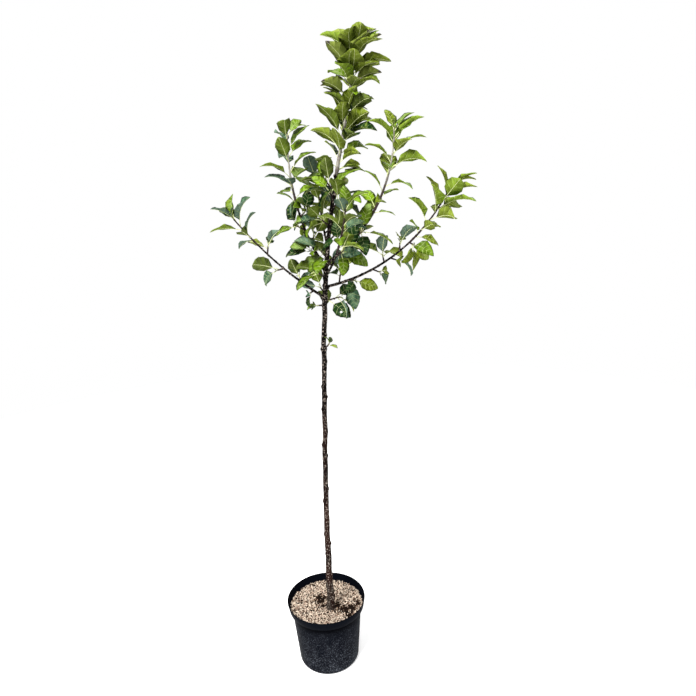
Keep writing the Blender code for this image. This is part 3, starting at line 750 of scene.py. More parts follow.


# The last argument is the share of painted sheen on the upper skin.
def blade_skins(name, colour, felt, vein, painted_sheen=PAINTED_SHEEN):
    """Materials of a blade's upper side and underside, the same two at its tip, and its side veins."""
    upper = leaf_paint(name + "_leaf", colour, painted_sheen)
    under = down_paint(name + "_underside", felt)
    veins = down_paint(name + "_veins", blend(colour, vein, VEIN_SHARE))
    return [upper, under, upper, under, veins]


def down_paint(name, colour):
    """The underside of a leaf: pale, matt and felted."""
    paint = Paint(name, {"Roughness": 0.85, "Specular IOR Level": 0.03})
    felt = paint.noise(700, 3, 0.6)
    mottle = paint.noise(48, 2)
    mixed = paint.mix(shade(colour, 0.82), shade(colour, 1.12), mottle.rise(0.35, 0.65))
    paint.colour(paint.mix(mixed, shade(colour, 1.3), felt.rise(0.5, 0.75) * 0.5))
    paint.roughness(0.78 + felt * 0.15)
    paint.bump(felt, 0.0002)
    return paint.material


def vein_paint(settings):
    """Leaf stalks and midribs: pale green, blushed here and there."""
    paint = Paint("stalks_and_midribs", {"Roughness": 0.55})
    blush = paint.noise(30, 2)
    paint.colour(paint.mix(settings.vein, (0.33, 0.17, 0.10), blush.rise(0.60, 0.78) * 0.5))
    paint.roughness(0.5 + blush * 0.15)
    paint.bump(paint.noise(500, 2), 0.0001)
    return paint.material


def withered_paint():
    """Curled brown tips of the youngest leaves."""
    paint = Paint("withered_tips", {"Roughness": 0.85})
    crackle = paint.noise(300, 4, 0.65)
    paint.colour(paint.mix((0.012, 0.008, 0.007), (0.075, 0.045, 0.036), crackle.rise(0.4, 0.7)))
    paint.roughness(0.75 + crackle * 0.2)
    paint.bump(crackle, 0.0004)
    return paint.material


def bud_paint():
    """Buds in the leaf axils, under downy brown scales."""
    paint = Paint("buds", {"Roughness": 0.8})
    scales = paint.noise(420, 3)
    paint.colour(paint.mix((0.085, 0.045, 0.032), (0.30, 0.25, 0.20), scales.rise(0.45, 0.7)))
    paint.roughness(0.7 + scales * 0.2)
    paint.bump(scales, 0.0003)
    return paint.material


def fruit_paint():
    """Green skin with a russet blush and pale dots."""
    paint = Paint("fruitlet", {"Roughness": 0.5})
    blush = paint.noise(70, 3)
    dots = paint.cells(420)
    colour = paint.mix((0.17, 0.27, 0.06), (0.20, 0.10, 0.045), blush.rise(0.48, 0.70) * 0.7)
    paint.colour(paint.mix(colour, (0.48, 0.50, 0.30), (1 - dots.rise(0.10, 0.20)) * 0.8))
    paint.roughness(0.42 + blush * 0.2)
    paint.bump(dots, 0.00015)
    return paint.material


def pot_paint(settings):
    """Black moulded plastic, with a painted shadow under its band, fine turning marks, and dried dust that
    thickens towards the foot."""
    paint = Paint("pot", {"Roughness": 0.45, "Specular IOR Level": 0.004})
    specks = paint.noise(250, 4, 0.8)
    splash = paint.noise(26, 4, 0.6)
    marks = paint.noise(180, 2, 0.5, paint.stretched((0.04, 0.04, 1)))
    low = 1 - paint.height().rise(0.0, 0.20)
    # body is 1 on the pot's body and 0 in a strip just under the band, which gets no dust so that its
    # painted shadow stays dark.
    body = 1 - paint.height().rise(BAND_FOOT_HEIGHT - 0.042, BAND_FOOT_HEIGHT - 0.010)
    dusty = specks.rise(0.54, 0.64) * (0.02 + body * 0.28 + low * 0.50) * splash.rise(0.15, 0.60)
    band = paint.height().rise(BAND_FOOT_HEIGHT - 0.001, BAND_FOOT_HEIGHT + 0.001)
    film = splash.rise(0.35, 0.70) * (0.04 + low * 0.10) * body
    # Painted shadow: the plastic is darkened to 0.4 where neither band nor body reaches, just under the
    # band.
    plastic = paint.mix(shade(settings.plastic, 0.4), settings.plastic, band + body)
    colour = paint.mix(plastic, settings.dust, film)
    paint.colour(paint.mix(colour, shade(settings.dust, 2.1), dusty))
    paint.roughness(0.36 + marks * 0.14 + dusty * 0.4)
    paint.bump(marks * 0.5 + dusty * 0.5, 0.0003)
    return paint.material


def compost_paint(name, settings):
    """Damp dark compost with paler fibres."""
    paint = Paint(name, {"Roughness": 0.95, "Specular IOR Level": 0.1})
    lumps = paint.noise(150, 5, 0.7)
    fibres = paint.noise(90, 3, 0.5, paint.stretched((1, 5, 3)))
    colour = paint.mix(shade(settings.compost, 0.5), shade(settings.compost, 1.7), lumps.rise(0.35, 0.68))
    paint.colour(paint.mix(colour, (0.075, 0.047, 0.027), fibres.rise(0.64, 0.74) * 0.7))
    paint.roughness(0.8 + lumps * 0.2)
    paint.bump(lumps, 0.002)
    return paint.material


def granule_paint(name, colour):
    """A matt, slightly stained granule."""
    paint = Paint(name, {"Roughness": 0.9})
    stain = paint.noise(140, 3)
    pits = paint.noise(900, 3)
    mixed = paint.mix(shade(colour, 0.72), shade(colour, 1.12), stain.rise(0.34, 0.62))
    paint.colour(paint.mix(mixed, shade(colour, 0.55), pits.rise(0.60, 0.78) * 0.6))
    paint.roughness(0.8 + pits * 0.15)
    paint.bump(pits, 0.0004)
    return paint.material


def floor_paint(settings):
    """Nearly even white that glows a little, so that shadows on it stay pale."""
    paint = Paint("floor", {"Roughness": 0.9, "Emission Strength": FLOOR_GLOW})
    cloud = paint.noise(0.6, 2)
    paint.colour(paint.mix(settings.floor, shade(settings.floor, 0.985), cloud))
    return paint.material


# Shapes


def show(name, data):
    """A new object in the scene."""
    made = bpy.data.objects.new(name, data)
    bpy.context.scene.collection.objects.link(made)
    return made


def mesh_of(name, shape):
    """A bmesh as a mesh, and the bmesh freed."""
    data = bpy.data.meshes.new(name)
    shape.to_mesh(data)
    shape.free()
    return data


def add_piece(name, data, materials, smooth=True):
    """An object at the origin with these materials, which rides on the tree's one body."""
    for material in materials:
        data.materials.append(material)
    if smooth:
        data.shade_smooth()
    else:
        data.shade_flat()
    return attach(show(name, data), "root")


def finish_piece(name, shape, materials):
    """A smooth piece from a bmesh, with its faces outwards."""
    bmesh.ops.recalc_face_normals(shape, faces=shape.faces)
    return add_piece(name, mesh_of(name, shape), materials)


def turns_of(sides):
    """The angles of so many corners round a circle."""
    return [2 * math.pi * k / sides for k in range(sides)]


def circle_way(side, other, angle):
    """The direction at this angle round a circle that two directions span."""
    return side * math.cos(angle) + other * math.sin(angle)


def rolled(shape, rings, sides, place, cap=True):
    """A tube rolled from a grid: place(round, along) gives each point, for shares from 0 to 1."""
    made = bmesh.ops.create_grid(shape, x_segments=sides, y_segments=rings, size=0.5)["verts"]
    for vert in made:
        vert.co = place((vert.co.x + 0.5) % 1.0, vert.co.y + 0.5)
    bmesh.ops.remove_doubles(shape, verts=made, dist=SAME_POINT)
    if cap:
        left = {vert for vert in made if vert.is_valid}
        rims = [edge for edge in shape.edges if edge.is_boundary and edge.verts[0] in left]
        bmesh.ops.holes_fill(shape, edges=rims, sides=0)


def frames_along(points):
    """A side direction for each point of a line, carried along it without twisting."""
    sides = []
    side = tangent(points, 0).orthogonal().normalized()
    for i in range(len(points)):
        along = tangent(points, i)
        side = (side - along * side.dot(along)).normalized()
        sides.append((side, along.cross(side)))
    return sides


def roll_limb(shape, points, rings, sides, radius_at):
    """A tube along a line, with radius_at(around in radians, along from 0 to 1) for its relief."""
    frames = frames_along(points)

    def place(around, along):
        i, t = step_at(points, along)
        a = around * 2 * math.pi
        side = frames[i][0].lerp(frames[i + 1][0], t)
        other = frames[i][1].lerp(frames[i + 1][1], t)
        return points[i].lerp(points[i + 1], t) + circle_way(side, other, a) * radius_at(a, along)

    rolled(shape, rings, sides, place)


def copies(name, template, placed, materials, smooth=True):
    """One joined piece of many copies of a small shape, each given as its own array of points."""
    faces = [tuple(v.index for v in face.verts) for face in template.faces]
    kinds = [face.material_index for face in template.faces]
    count = len(template.verts)
    data = bpy.data.meshes.new(name)
    joined = [tuple(i + count * k for i in face) for k in range(len(placed)) for face in faces]
    data.from_pydata(np.concatenate(placed).tolist(), [], joined)
    data.polygons.foreach_set("material_index", kinds * len(placed))
    return add_piece(name, data, materials, smooth)


def numbers(shape):
    """The points of a small shape as an array."""
    return np.array([tuple(v.co) for v in shape.verts])


# The lines that limbs follow


def heading(azimuth, rise):
    """The unit vector that points this way."""
    a = math.radians(azimuth)
    r = math.radians(rise)
    return Vector((math.cos(a) * math.cos(r), math.sin(a) * math.cos(r), math.sin(r)))


def grow(start, azimuth, rise, length, steps, turn=0.0, lift=0.0, bend=1.0):
    """Points of a limb that turns and lifts evenly from its start to its tip."""
    points = [start.copy()]
    for step in range(steps):
        t = ((step + 0.5) / steps) ** bend
        points.append(points[-1] + heading(azimuth + turn * t, rise + lift * t) * (length / steps))
    return points


def smooth_line(corners, height):
    """The point at this height on the smooth curve through the corners, which rise all the way."""
    last = len(corners) - 2
    k = max(i for i in range(last + 1) if corners[i][2] <= height or i == 0)
    a, b = Vector(corners[k]), Vector(corners[k + 1])
    before = Vector(corners[k - 1]) if k > 0 else a * 2 - b
    after = Vector(corners[k + 2]) if k < last else b * 2 - a
    t = (height - a.z) / (b.z - a.z)
    slope_a = (b - before) * ((b.z - a.z) / (b.z - before.z))
    slope_b = (after - a) * ((b.z - a.z) / (after.z - a.z))
    point = (
        a * (2 * t**3 - 3 * t**2 + 1)
        + slope_a * (t**3 - 2 * t**2 + t)
        + b * (3 * t**2 - 2 * t**3)
        + slope_b * (t**3 - t**2)
    )
    return Vector((point.x, point.y, height))


def trunk_radius(height):
    """The trunk's radius at this height, with the root flare at its foot."""
    radius = TRUNK_RADII[-1][1]
    for (low, low_radius), (high, high_radius) in zip(TRUNK_RADII, TRUNK_RADII[1:]):
        if height <= high:
            share = max(0.0, (height - low) / (high - low))
            radius = low_radius + (high_radius - low_radius) * share
            break
    return radius + FLARE * math.exp(-(height - TRUNK_LINE[0][2]) / FLARE_HEIGHT)


def trunk_stretch(low, high, steps, bunch=1.0):
    """Points and radii of the trunk's line between two heights, closer together at the foot."""
    heights = [low + (high - low) * (i / steps) ** bunch for i in range(steps + 1)]
    return [smooth_line(TRUNK_LINE, z) for z in heights], [trunk_radius(z) for z in heights]


def taper(start, end, steps):
    """Even steps from one radius to another."""
    return [start + (end - start) * i / steps for i in range(steps + 1)]


def tangent(points, i):
    """The direction of a line at one of its points."""
    return (points[min(i + 1, len(points) - 1)] - points[max(i - 1, 0)]).normalized()


def step_at(points, share):
    """Which step of a line this share of it falls on, and how far along that step."""
    spot = share * (len(points) - 1)
    i = min(int(spot), len(points) - 2)
    return i, spot - i


def place_on(points, radii, share):
    """Point, direction and radius at this share of a line's length."""
    i, t = step_at(points, share)
    point = points[i].lerp(points[i + 1], t)
    radius = radii[i] + (radii[i + 1] - radii[i]) * t
    return point, (points[i + 1] - points[i]).normalized(), radius


def trunk_place(height):
    """Point, direction and radius of the trunk at this height."""
    low, high = (smooth_line(TRUNK_LINE, z) for z in (height - SLOPE_REACH, height + SLOPE_REACH))
    return smooth_line(TRUNK_LINE, height), (high - low).normalized(), trunk_radius(height)


def seat(place, direction, radius, sides):
    """Where a side limb of so many sides starts, so that its flat end clears the limb it stands on."""
    point, along, limb_radius = place
    side = direction.orthogonal().normalized()
    other = direction.cross(side)
    corners = [circle_way(side, other, a) * radius for a in turns_of(sides)]
    rim = [corners[k - 1].lerp(corners[k], i / RIM_STEPS) for k in range(sides) for i in range(RIM_STEPS)]
    reach = limb_radius
    while True:
        spots = [direction * reach + corner for corner in rim]
        nearest = min((spot - along * spot.dot(along)).length for spot in spots)
        if nearest >= limb_radius + GAP:
            return point + direction * reach
        reach += SEAT_STEP


# The plan of the whole tree, by the same rule as its solids


class Leaf:
    """One leaf: where its stalk is rooted, and how its blade lies."""

    def __init__(self, root, stalk, stalk_length, upper, length, width, bow, fold):
        self.root = root
        self.base = root + stalk * stalk_length
        self.stalk = stalk
        self.length = length
        self.width = width
        self.bow = bow
        self.fold = fold
        self.side = stalk.cross(upper).normalized()
        self.upper = self.side.cross(stalk).normalized()

    def at(self, t):
        """Midrib point and upper direction at this share of the blade."""
        angle = self.bow * t
        out = math.sin(angle) / self.bow * self.length
        down = (1 - math.cos(angle)) / self.bow * self.length
        point = self.base + self.stalk * out - self.upper * down
        return point, self.upper * math.cos(angle) + self.stalk * math.sin(angle)

    def rings(self, extra=0.0):
        """Four-point rings of the leaf's solid, from its stalk's root to the last row."""
        made = []
        across = self.side * (PETIOLE_RADIUS + extra)
        thick = self.upper * (PETIOLE_RADIUS + extra)
        for point in (self.root, self.base):
            made.append([point + across, point + thick, point - across, point - thick])
        for t, share in HULL_ROWS:
            point, up = self.at(t)
            half = self.width / 2 * share + extra
            edge = up * (half * math.sin(self.fold))
            across = self.side * (half * math.cos(self.fold))
            thick = up * (LEAF_THICKNESS / 2 + extra)
            made.append([point + across + edge, point + thick, point - across + edge, point - thick])
        return made

    def tip(self, extra=0.0):
        return self.at(1.0 + extra / self.length)[0]


def joined_rings(rings):
    """Points and faces of a tube through these rings of corners, closed at its first end."""
    sides = len(rings[0])
    faces = [tuple(reversed(range(sides)))]
    for i in range(len(rings) - 1):
        for k in range(sides):
            a, b = sides * i + k, sides * i + (k + 1) % sides
            faces.append((a, b, b + sides, a + sides))
    return [point for ring in rings for point in ring], faces


def leaf_mesh(leaf, extra=0.0, skip=0):
    """Points and faces of a leaf's solid, or of its hull with some extra all round."""
    points, faces = joined_rings(leaf.rings(extra)[skip:])
    tip = len(points)
    faces += [(tip - 4 + k, tip - 4 + (k + 1) % 4, tip) for k in range(4)]
    return points + [leaf.tip(extra)], faces


def tube_mesh(points, radii, sides):
    """Points and faces of a tapering tube with flat ends."""
    rings = []
    for point, radius, (side, other) in zip(points, radii, frames_along(points)):
        rings.append([point + circle_way(side, other, a) * radius for a in turns_of(sides)])
    made, faces = joined_rings(rings)
    faces.append(tuple(range(len(made) - sides, len(made))))
    return made, faces


class Shoot:
    """One mass of foliage: its stem, and the leaves that fit round it."""

    def __init__(self, name, points, radii, sides, leaves, blade, phase):
        self.name = name
        self.points = points
        self.radii = radii
        self.sides = sides
        self.count = leaves
        self.blade = blade
        self.phase = phase
        self.bare = SHOOT_BARE
        self.reach = REACH
        self.leaves = []
        self.extras = []

    def joint(self, k):
        """The share of the stem where leaf number k grows."""
        return self.bare + (LAST_LEAF - self.bare) * ((k + 0.5) / self.count)

    def spiral_way(self, along, k, turn=0.0, sway=0.0):
        """Which way from a stem in this direction leaf number k grows."""
        angle = math.radians(self.phase + GOLDEN_ANGLE * k + turn + sway)
        side = UP.cross(along).normalized()
        return circle_way(side, along.cross(side), angle)


def leaf_on(shoot, k, turn, chance):
    """Leaf number k of a shoot, turned this far round the stem from its place in the spiral."""
    t = shoot.joint(k)
    along = place_on(shoot.points, shoot.radii, t)[1]
    return leaf_toward(shoot, t, shoot.spiral_way(along, k, turn, chance[0]), chance)


def leaf_toward(shoot, t, out, chance):
    """A leaf at this share of a shoot's stem, on the side that faces out."""
    root, along, radius = place_on(shoot.points, shoot.radii, t)
    _, open_by, size, droop, crease, roll = chance
    lean = math.radians(LEAN_FOOT + (LEAN_TIP - LEAN_FOOT) * t + open_by)
    stalk = circle_way(along, out, lean).normalized()
    stalk = (stalk + UP * shoot.reach).normalized()
    inner = (along - stalk * along.dot(stalk)).normalized()
    upper = inner * UPPER_INWARD + UP * UPPER_UPWARD
    upper = circle_way(upper.normalized(), stalk.cross(upper).normalized(), math.radians(roll))
    swell = math.sin(math.pi * t * SIZE_FALL) ** SIZE_CURVE
    length = shoot.blade * size * (FOOT_SIZE + (MIDDLE_SIZE - FOOT_SIZE) * swell)
    return Leaf(
        root,
        stalk,
        length * PETIOLE_SHARE + radius,
        upper,
        length,
        length * WIDTH_SHARE,
        math.radians(BOW + droop),
        math.radians(FOLD + crease),
    )


def place_leaves(shoot, taken, rng):
    """Give a shoot its leaves, each turned until it clears what stands already, or left out."""
    own = ([], [])
    for k in range(shoot.count):
        chance = [rng.uniform(low, high) for low, high in CHANCES]
        for turn in TURNS:
            leaf = leaf_on(shoot, k, turn, chance)
            hull = BVHTree.FromPolygons(*leaf_mesh(leaf, LEAF_CLEARANCE))
            blade = BVHTree.FromPolygons(*leaf_mesh(leaf, LEAF_CLEARANCE, 1))
            if hull.overlap(taken):
                continue
            if own[0] and blade.overlap(BVHTree.FromPolygons(*own)):
                continue
            shoot.leaves.append(leaf)
            add_to(own, leaf_mesh(leaf))
            break


def add_to(mesh, more):
    """Join more points and faces to a mesh that is kept as two lists."""
    points, faces = more
    start = len(mesh[0])
    mesh[0].extend(points)
    mesh[1].extend(tuple(start + i for i in face) for face in faces)


def ball_mesh(centre, radius):
    """Points and faces of the fruitlet's solid."""
    shape = bmesh.new()
    bmesh.ops.create_icosphere(shape, subdivisions=2, radius=radius)
    made = [v.co + centre for v in shape.verts], [tuple(v.index for v in f.verts) for f in shape.faces]
    shape.free()
    return made


def fruit_line(shoot):
    """Where the fruitlet's stalk starts, which way it goes, and the fruitlet's middle."""
    end = shoot.points[-1] - tangent(shoot.points, len(shoot.points) - 1) * TWIG_TIP_RADIUS * 2
    way = heading(FRUIT_AZIMUTH, FRUIT_RISE)
    return end, way, end + way * (FRUIT_STALK + FRUIT_RADIUS)


def hang_fruit(shoot):
    """Add the solids of a fruitlet and its stalk to the end of a spur."""
    end, way, centre = fruit_line(shoot)
    stalk = [end, end + way * (FRUIT_STALK + FRUIT_RADIUS / 2)]
    shoot.extras.append(tube_mesh(stalk, [PETIOLE_RADIUS] * 2, TWIG_SIDES))
    shoot.extras.append(ball_mesh(centre, FRUIT_RADIUS))


def leader_shoots():
    """The two masses of the leader, one above the other."""
    starts = (TRUNK_END_HEIGHT, LEADER_JOINT_HEIGHT)
    ends = (LEADER_JOINT_HEIGHT, TRUNK_LINE[-1][2])
    made = []
    for i, name in enumerate(("leader_foot", "leader_tip")):
        points, radii = trunk_stretch(starts[i] + GAP, ends[i], LEADER_STEPS)
        growth = (LEADER_LEAVES[i], LEADER_BLADES[i], LEADER_PHASES[i])
        made.append(Shoot(name, points, radii, LEADER_SIDES, *growth))
        made[-1].bare = LEADER_BARE
    return made


def bough_and_shoot(limb):
    """The line and radii of a bough, and the leafy shoot on its end."""
    start = seat(trunk_place(limb.height), heading(limb.azimuth, limb.rise), limb.radius, LIMB_SIDES)
    course = (limb.azimuth, limb.rise, limb.length, LIMB_STEPS, limb.turn, limb.lift, limb.bend)
    points = grow(start, *course)
    radii = taper(limb.radius, limb.tip_radius, LIMB_STEPS)
    cut = round(limb.bare * LIMB_STEPS)
    tip = [points[cut] + tangent(points, cut) * GAP] + points[cut + 1:]
    growth = (limb.leaves, limb.blade, limb.phase)
    shoot = Shoot(limb.name + "_shoot", tip, radii[cut:], LEADER_SIDES, *growth)
    return (points[: cut + 1], radii[: cut + 1]), shoot


def spur_shoot(spur, lines):
    """The shoot of a spur, seated on the trunk or a bough."""
    if spur.limb == "trunk":
        place = trunk_place(spur.place)
    else:
        place = place_on(*lines[spur.limb], spur.place)
    start = seat(place, heading(spur.azimuth, spur.rise), TWIG_RADIUS, TWIG_SIDES)
    points = grow(start, spur.azimuth, spur.rise, spur.length, SPUR_STEPS, 0.0, spur.lift)
    radii = taper(TWIG_RADIUS, TWIG_TIP_RADIUS, SPUR_STEPS)
    made = Shoot(spur.name, points, radii, TWIG_SIDES, spur.leaves, spur.blade, spur.phase)
    made.bare = SPUR_BARE
    made.reach = spur.reach
    if spur.name == FRUIT_SPUR:
        hang_fruit(made)
    return made


def leaf_out(lines, shoots):
    """Give the shoots their leaves in turn, clear of all limbs and of what already stands."""
    fixed = ([], [])
    for points, radii in lines.values():
        add_to(fixed, tube_mesh(points, [r + LEAF_CLEARANCE for r in radii], LIMB_SIDES))
    for i, shoot in enumerate(shoots):
        others = ([], [])
        add_to(others, fixed)
        for other in shoots:
            if other is not shoot:
                stem = tube_mesh(other.points, [r + LEAF_CLEARANCE for r in other.radii], LEADER_SIDES)
                for mesh in [stem] + other.extras + [leaf_mesh(leaf) for leaf in other.leaves]:
                    add_to(others, mesh)
        rng = random.Random(SEED + i + NAME_SEED * len(shoot.name))
        place_leaves(shoot, BVHTree.FromPolygons(*others), rng)


@functools.cache
def plan_tree():
    """Lines and radii of the trunk and boughs, and the shoots with their leaves."""
    lines = {"trunk": trunk_stretch(TRUNK_LINE[0][2], TRUNK_END_HEIGHT, TRUNK_STEPS, TRUNK_BUNCH)}
    shoots = leader_shoots()
    for limb in LIMBS:
        lines[limb.name], shoot = bough_and_shoot(limb)
        shoots.append(shoot)
    shoots += [spur_shoot(spur, lines) for spur in SPURS]
    leaf_out(lines, shoots)
    return lines, shoots


def shoot_named(name):
    """The shoot of this name."""
    return next(shoot for shoot in plan_tree()[1] if shoot.name == name)


# Bark


def bump_at(distance, width):
    """A smooth swelling, 1 in its middle."""
    return math.exp(-((distance / width) ** 2))


def around_trunk(azimuth, side, other):
    """The angle round the trunk's own frame that faces this way."""
    way = heading(azimuth, 0)
    return math.atan2(way.dot(other), way.dot(side))


def turn_between(a, b):
    """How far apart two angles are."""
    return abs((a - b + math.pi) % (2 * math.pi) - math.pi)


def bend_trunk(points, settings):
    """Shift the points of the trunk's line a little to and fro, but not its ends."""
    foot, top = points[0].z, points[-1].z
    for point in points:
        z = point.z
        fade = min(1.0, (z - foot) / STILL_END, (top - z) / STILL_END)
        bend = [noise.noise(Vector((z * BEND_RATE, row, 0))) for row in (0, 9)]
        point += Vector((*bend, 0)) * (settings.wander * max(0.0, fade))


def trunk_scars(settings, side, other):
    """Height, facing and rise of each bud scar, and of the collars under boughs and spurs."""
    scars = []
    height = SCAR_FIRST
    count = 0
    while height < TRUNK_END_HEIGHT:
        scars.append((height, math.radians(GOLDEN_ANGLE * count), settings.scar))
        height += SCAR_STEP * (1 + SCAR_UNEVENNESS * math.sin(count * SCAR_BEAT))
        count += 1
    for limb in LIMBS:
        facing = around_trunk(limb.azimuth, side, other)
        scars.append((limb.height - COLLAR_DROP, facing, settings.scar * BOUGH_SCAR))
    for spur in SPURS:
        if spur.limb == "trunk":
            facing = around_trunk(spur.azimuth, side, other)
            scars.append((spur.place, facing, settings.scar * SPUR_SCAR))
    return scars


def skin_spot(a, run, width, shift=0):
    """Where the noise for a limb's skin is read, for an angle round the limb and a run along it."""
    return Vector((math.cos(a) * width + shift, math.sin(a) * width, run))


def roll_trunk(shape, settings):
    """The trunk, with root ridges at its foot, alternate bud scars, and collars under the boughs."""
    base = TRUNK_LINE[0][2]
    steps = round((TRUNK_END_HEIGHT - base) / TRUNK_RING)
    points, radii = trunk_stretch(base, TRUNK_END_HEIGHT + GAP, steps)
    bend_trunk(points, settings)
    scars = trunk_scars(settings, *frames_along(points)[0])

    def radius_at(a, along):
        z = points[0].z + (points[-1].z - points[0].z) * along
        radius = radii[round(along * steps)]
        spot = skin_spot(a, z * RIPPLE_RATE, RIPPLE_WIDTH)
        ripple = noise.noise(spot) + FINE_SHARE * noise.noise(spot * FINE_RATE)
        slow = noise.noise(skin_spot(a, z * SLOW_RATE, SLOW_WIDTH))
        swell = sum(
            rise * bump_at(z - level, SCAR_LENGTH) * bump_at(turn_between(a, facing), SCAR_SPREAD)
            for level, facing, rise in scars
            if abs(z - level) < SCAR_REACH
        )
        foot = math.exp(-(z - points[0].z) / RIDGE_HEIGHT)
        stout = FOOT_SWELL * math.exp(-(z - points[0].z) / FOOT_SWELL_HEIGHT)
        stout += LOW_SWELL * max(0.0, 1 - z / LOW_SWELL_HEIGHT)
        ridges = RIDGE_DEPTH * radius * foot * math.cos(ROOT_RIDGES * a + RIDGE_TURN)
        relief = settings.relief * (ripple + SLOW_SHARE * slow)
        return radius + stout + settings.thickness + relief + swell + ridges

    roll_limb(shape, points, steps, TRUNK_SIDES, radius_at)


def rooted(points, radii, depth):
    """A limb's points and radii with one more in front, this deep in what it stands on, and the length
    of the line."""
    points = [points[0] - tangent(points, 0) * depth] + points
    return points, [radii[0]] + radii, sum((b - a).length for a, b in zip(points, points[1:]))


def roll_bough(shape, points, radii, settings, seed):
    """A bough that flares into the trunk, with small scars where buds stood."""
    points, radii, length = rooted(points, radii, BOUGH_ROOT)

    def radius_at(a, along):
        radius = place_on(points, radii, along)[2]
        run = along * length
        spot = skin_spot(a, run * BOUGH_RIPPLE_RATE, BOUGH_RIPPLE_WIDTH, seed * 7)
        ripple = noise.noise(spot) + BOUGH_FINE_SHARE * noise.noise(spot * BOUGH_FINE_RATE)
        node = math.cos(2 * math.pi * run / BOUGH_SCAR_STEP + seed)
        facing = math.cos(a - seed - round(run / BOUGH_SCAR_STEP) * math.radians(GOLDEN_ANGLE))
        swell = settings.scar * BOUGH_SCAR_SHARE * max(0.0, node) ** BOUGH_SCAR_EDGE * (0.5 + 0.5 * facing)
        collar = COLLAR * radii[0] * math.exp(-run / COLLAR_LENGTH)
        return radius + settings.relief * BOUGH_RELIEF * ripple + swell + collar

    roll_limb(shape, points, round(length / BOUGH_RING), BOUGH_SIDES, radius_at)


# Leaves and stems of the sprays


def tints_for(name):
    """The tints that a spray's leaves are dealt from."""
    return next(tints for start, tints in SPRAY_TINTS if name.startswith(start))


def finer_leaves(shoot, rng):
    """The leaves of a spray's solids, grown to their full size, with more between them."""
    size, more = next(row[1:] for row in FULLNESS if shoot.name.startswith(row[0]))
    made = []
    for leaf in shoot.leaves:
        sizes = (leaf.length * size, leaf.width * size)
        stalk_length = (leaf.base - leaf.root).length
        made.append(Leaf(leaf.root, leaf.stalk, stalk_length, leaf.upper, *sizes, leaf.bow, leaf.fold))
    for share, azimuth in more:
        chance = [rng.uniform(low, high) for low, high in CHANCES]
        chance[2] *= size
        along = place_on(shoot.points, shoot.radii, share)[1]
        out = heading(azimuth, 0)
        out = (out - along * out.dot(along)).normalized()
        made.append(leaf_toward(shoot, share, out, chance))
    return made


def young_leaves(shoot, rng):
    """Small upright leaves that go on with the spiral at a spray's tip."""
    made = []
    end = shoot.points[-1]
    along = tangent(shoot.points, len(shoot.points) - 1)
    bends = (math.radians(YOUNG_BOW), math.radians(YOUNG_FOLD))
    sizes = YOUNG_SIZES[-SPUR_YOUNG:] if shoot.sides == TWIG_SIDES else YOUNG_SIZES
    for k, size in enumerate(sizes):
        out = shoot.spiral_way(along, shoot.count + k)
        lean = math.radians(YOUNG_LEAN * (1 + size) + rng.uniform(-YOUNG_SWAY, YOUNG_SWAY))
        stalk = circle_way(along, out, lean).normalized()
        length = shoot.blade * size
        upper = (along - stalk * along.dot(stalk)).normalized()
        blade = (upper, length, length * YOUNG_WIDTH, *bends)
        made.append(Leaf(end - along * (YOUNG_STEP * k), stalk, length * YOUNG_STALK, *blade))
    return made


def outline(t):
    """Half width of an apple leaf at this share of its length, from 0 to 1: round foot, drawn-out tip."""
    oval = np.sin(np.pi * np.clip(t, 0, 1) ** WIDEST_EARLY) ** OUTLINE_FULLNESS
    return oval * (1 - TIP_PINCH * t**5)


def turned_over(shape):
    """A small closed shape with its faces inwards: the axes of a leaf are left-handed, and laying the
    shape on them turns its faces out."""
    bmesh.ops.recalc_face_normals(shape, faces=shape.faces)
    bmesh.ops.reverse_faces(shape, faces=shape.faces)
    shape.verts.index_update()
    return shape


def blade_template():
    """A two-sided blade closed at its edge: x runs along it and y across it, z is 1 above and -1 below.
    Its faces are upper skin, lower skin, the same two at the tip, and side veins."""
    shape = bmesh.new()
    last = len(BLADE_LINES) - 1
    for level, columns in ((1, UPPER_COLUMNS), (-1, LOWER_COLUMNS)):
        made = bmesh.ops.create_grid(shape, x_segments=last, y_segments=columns, size=1)["verts"]
        for vert in made:
            row = round((vert.co.x + 1) / 2 * last)
            end = row in (0, last)
            inside = abs(vert.co.y) < 0.99 and not end
            vert.co = (BLADE_LINES[row], 0 if end else vert.co.y, level if inside else 0)
        if level < 0:
            under = list({face for vert in made for face in vert.link_faces})
            bmesh.ops.reverse_faces(shape, faces=under)
            for face in under:
                face.material_index = 1
    bmesh.ops.remove_doubles(shape, verts=shape.verts, dist=NEAR_POINT)
    for face in shape.faces:
        middle = face.calc_center_median().x
        if middle > VEIN_PLACES[-1] + VEIN_HALF_WIDTH:
            face.material_index += 2
        elif min(abs(middle - place) for place in VEIN_PLACES) < VEIN_HALF_WIDTH / 2:
            face.material_index = 4
    return turned_over(shape)


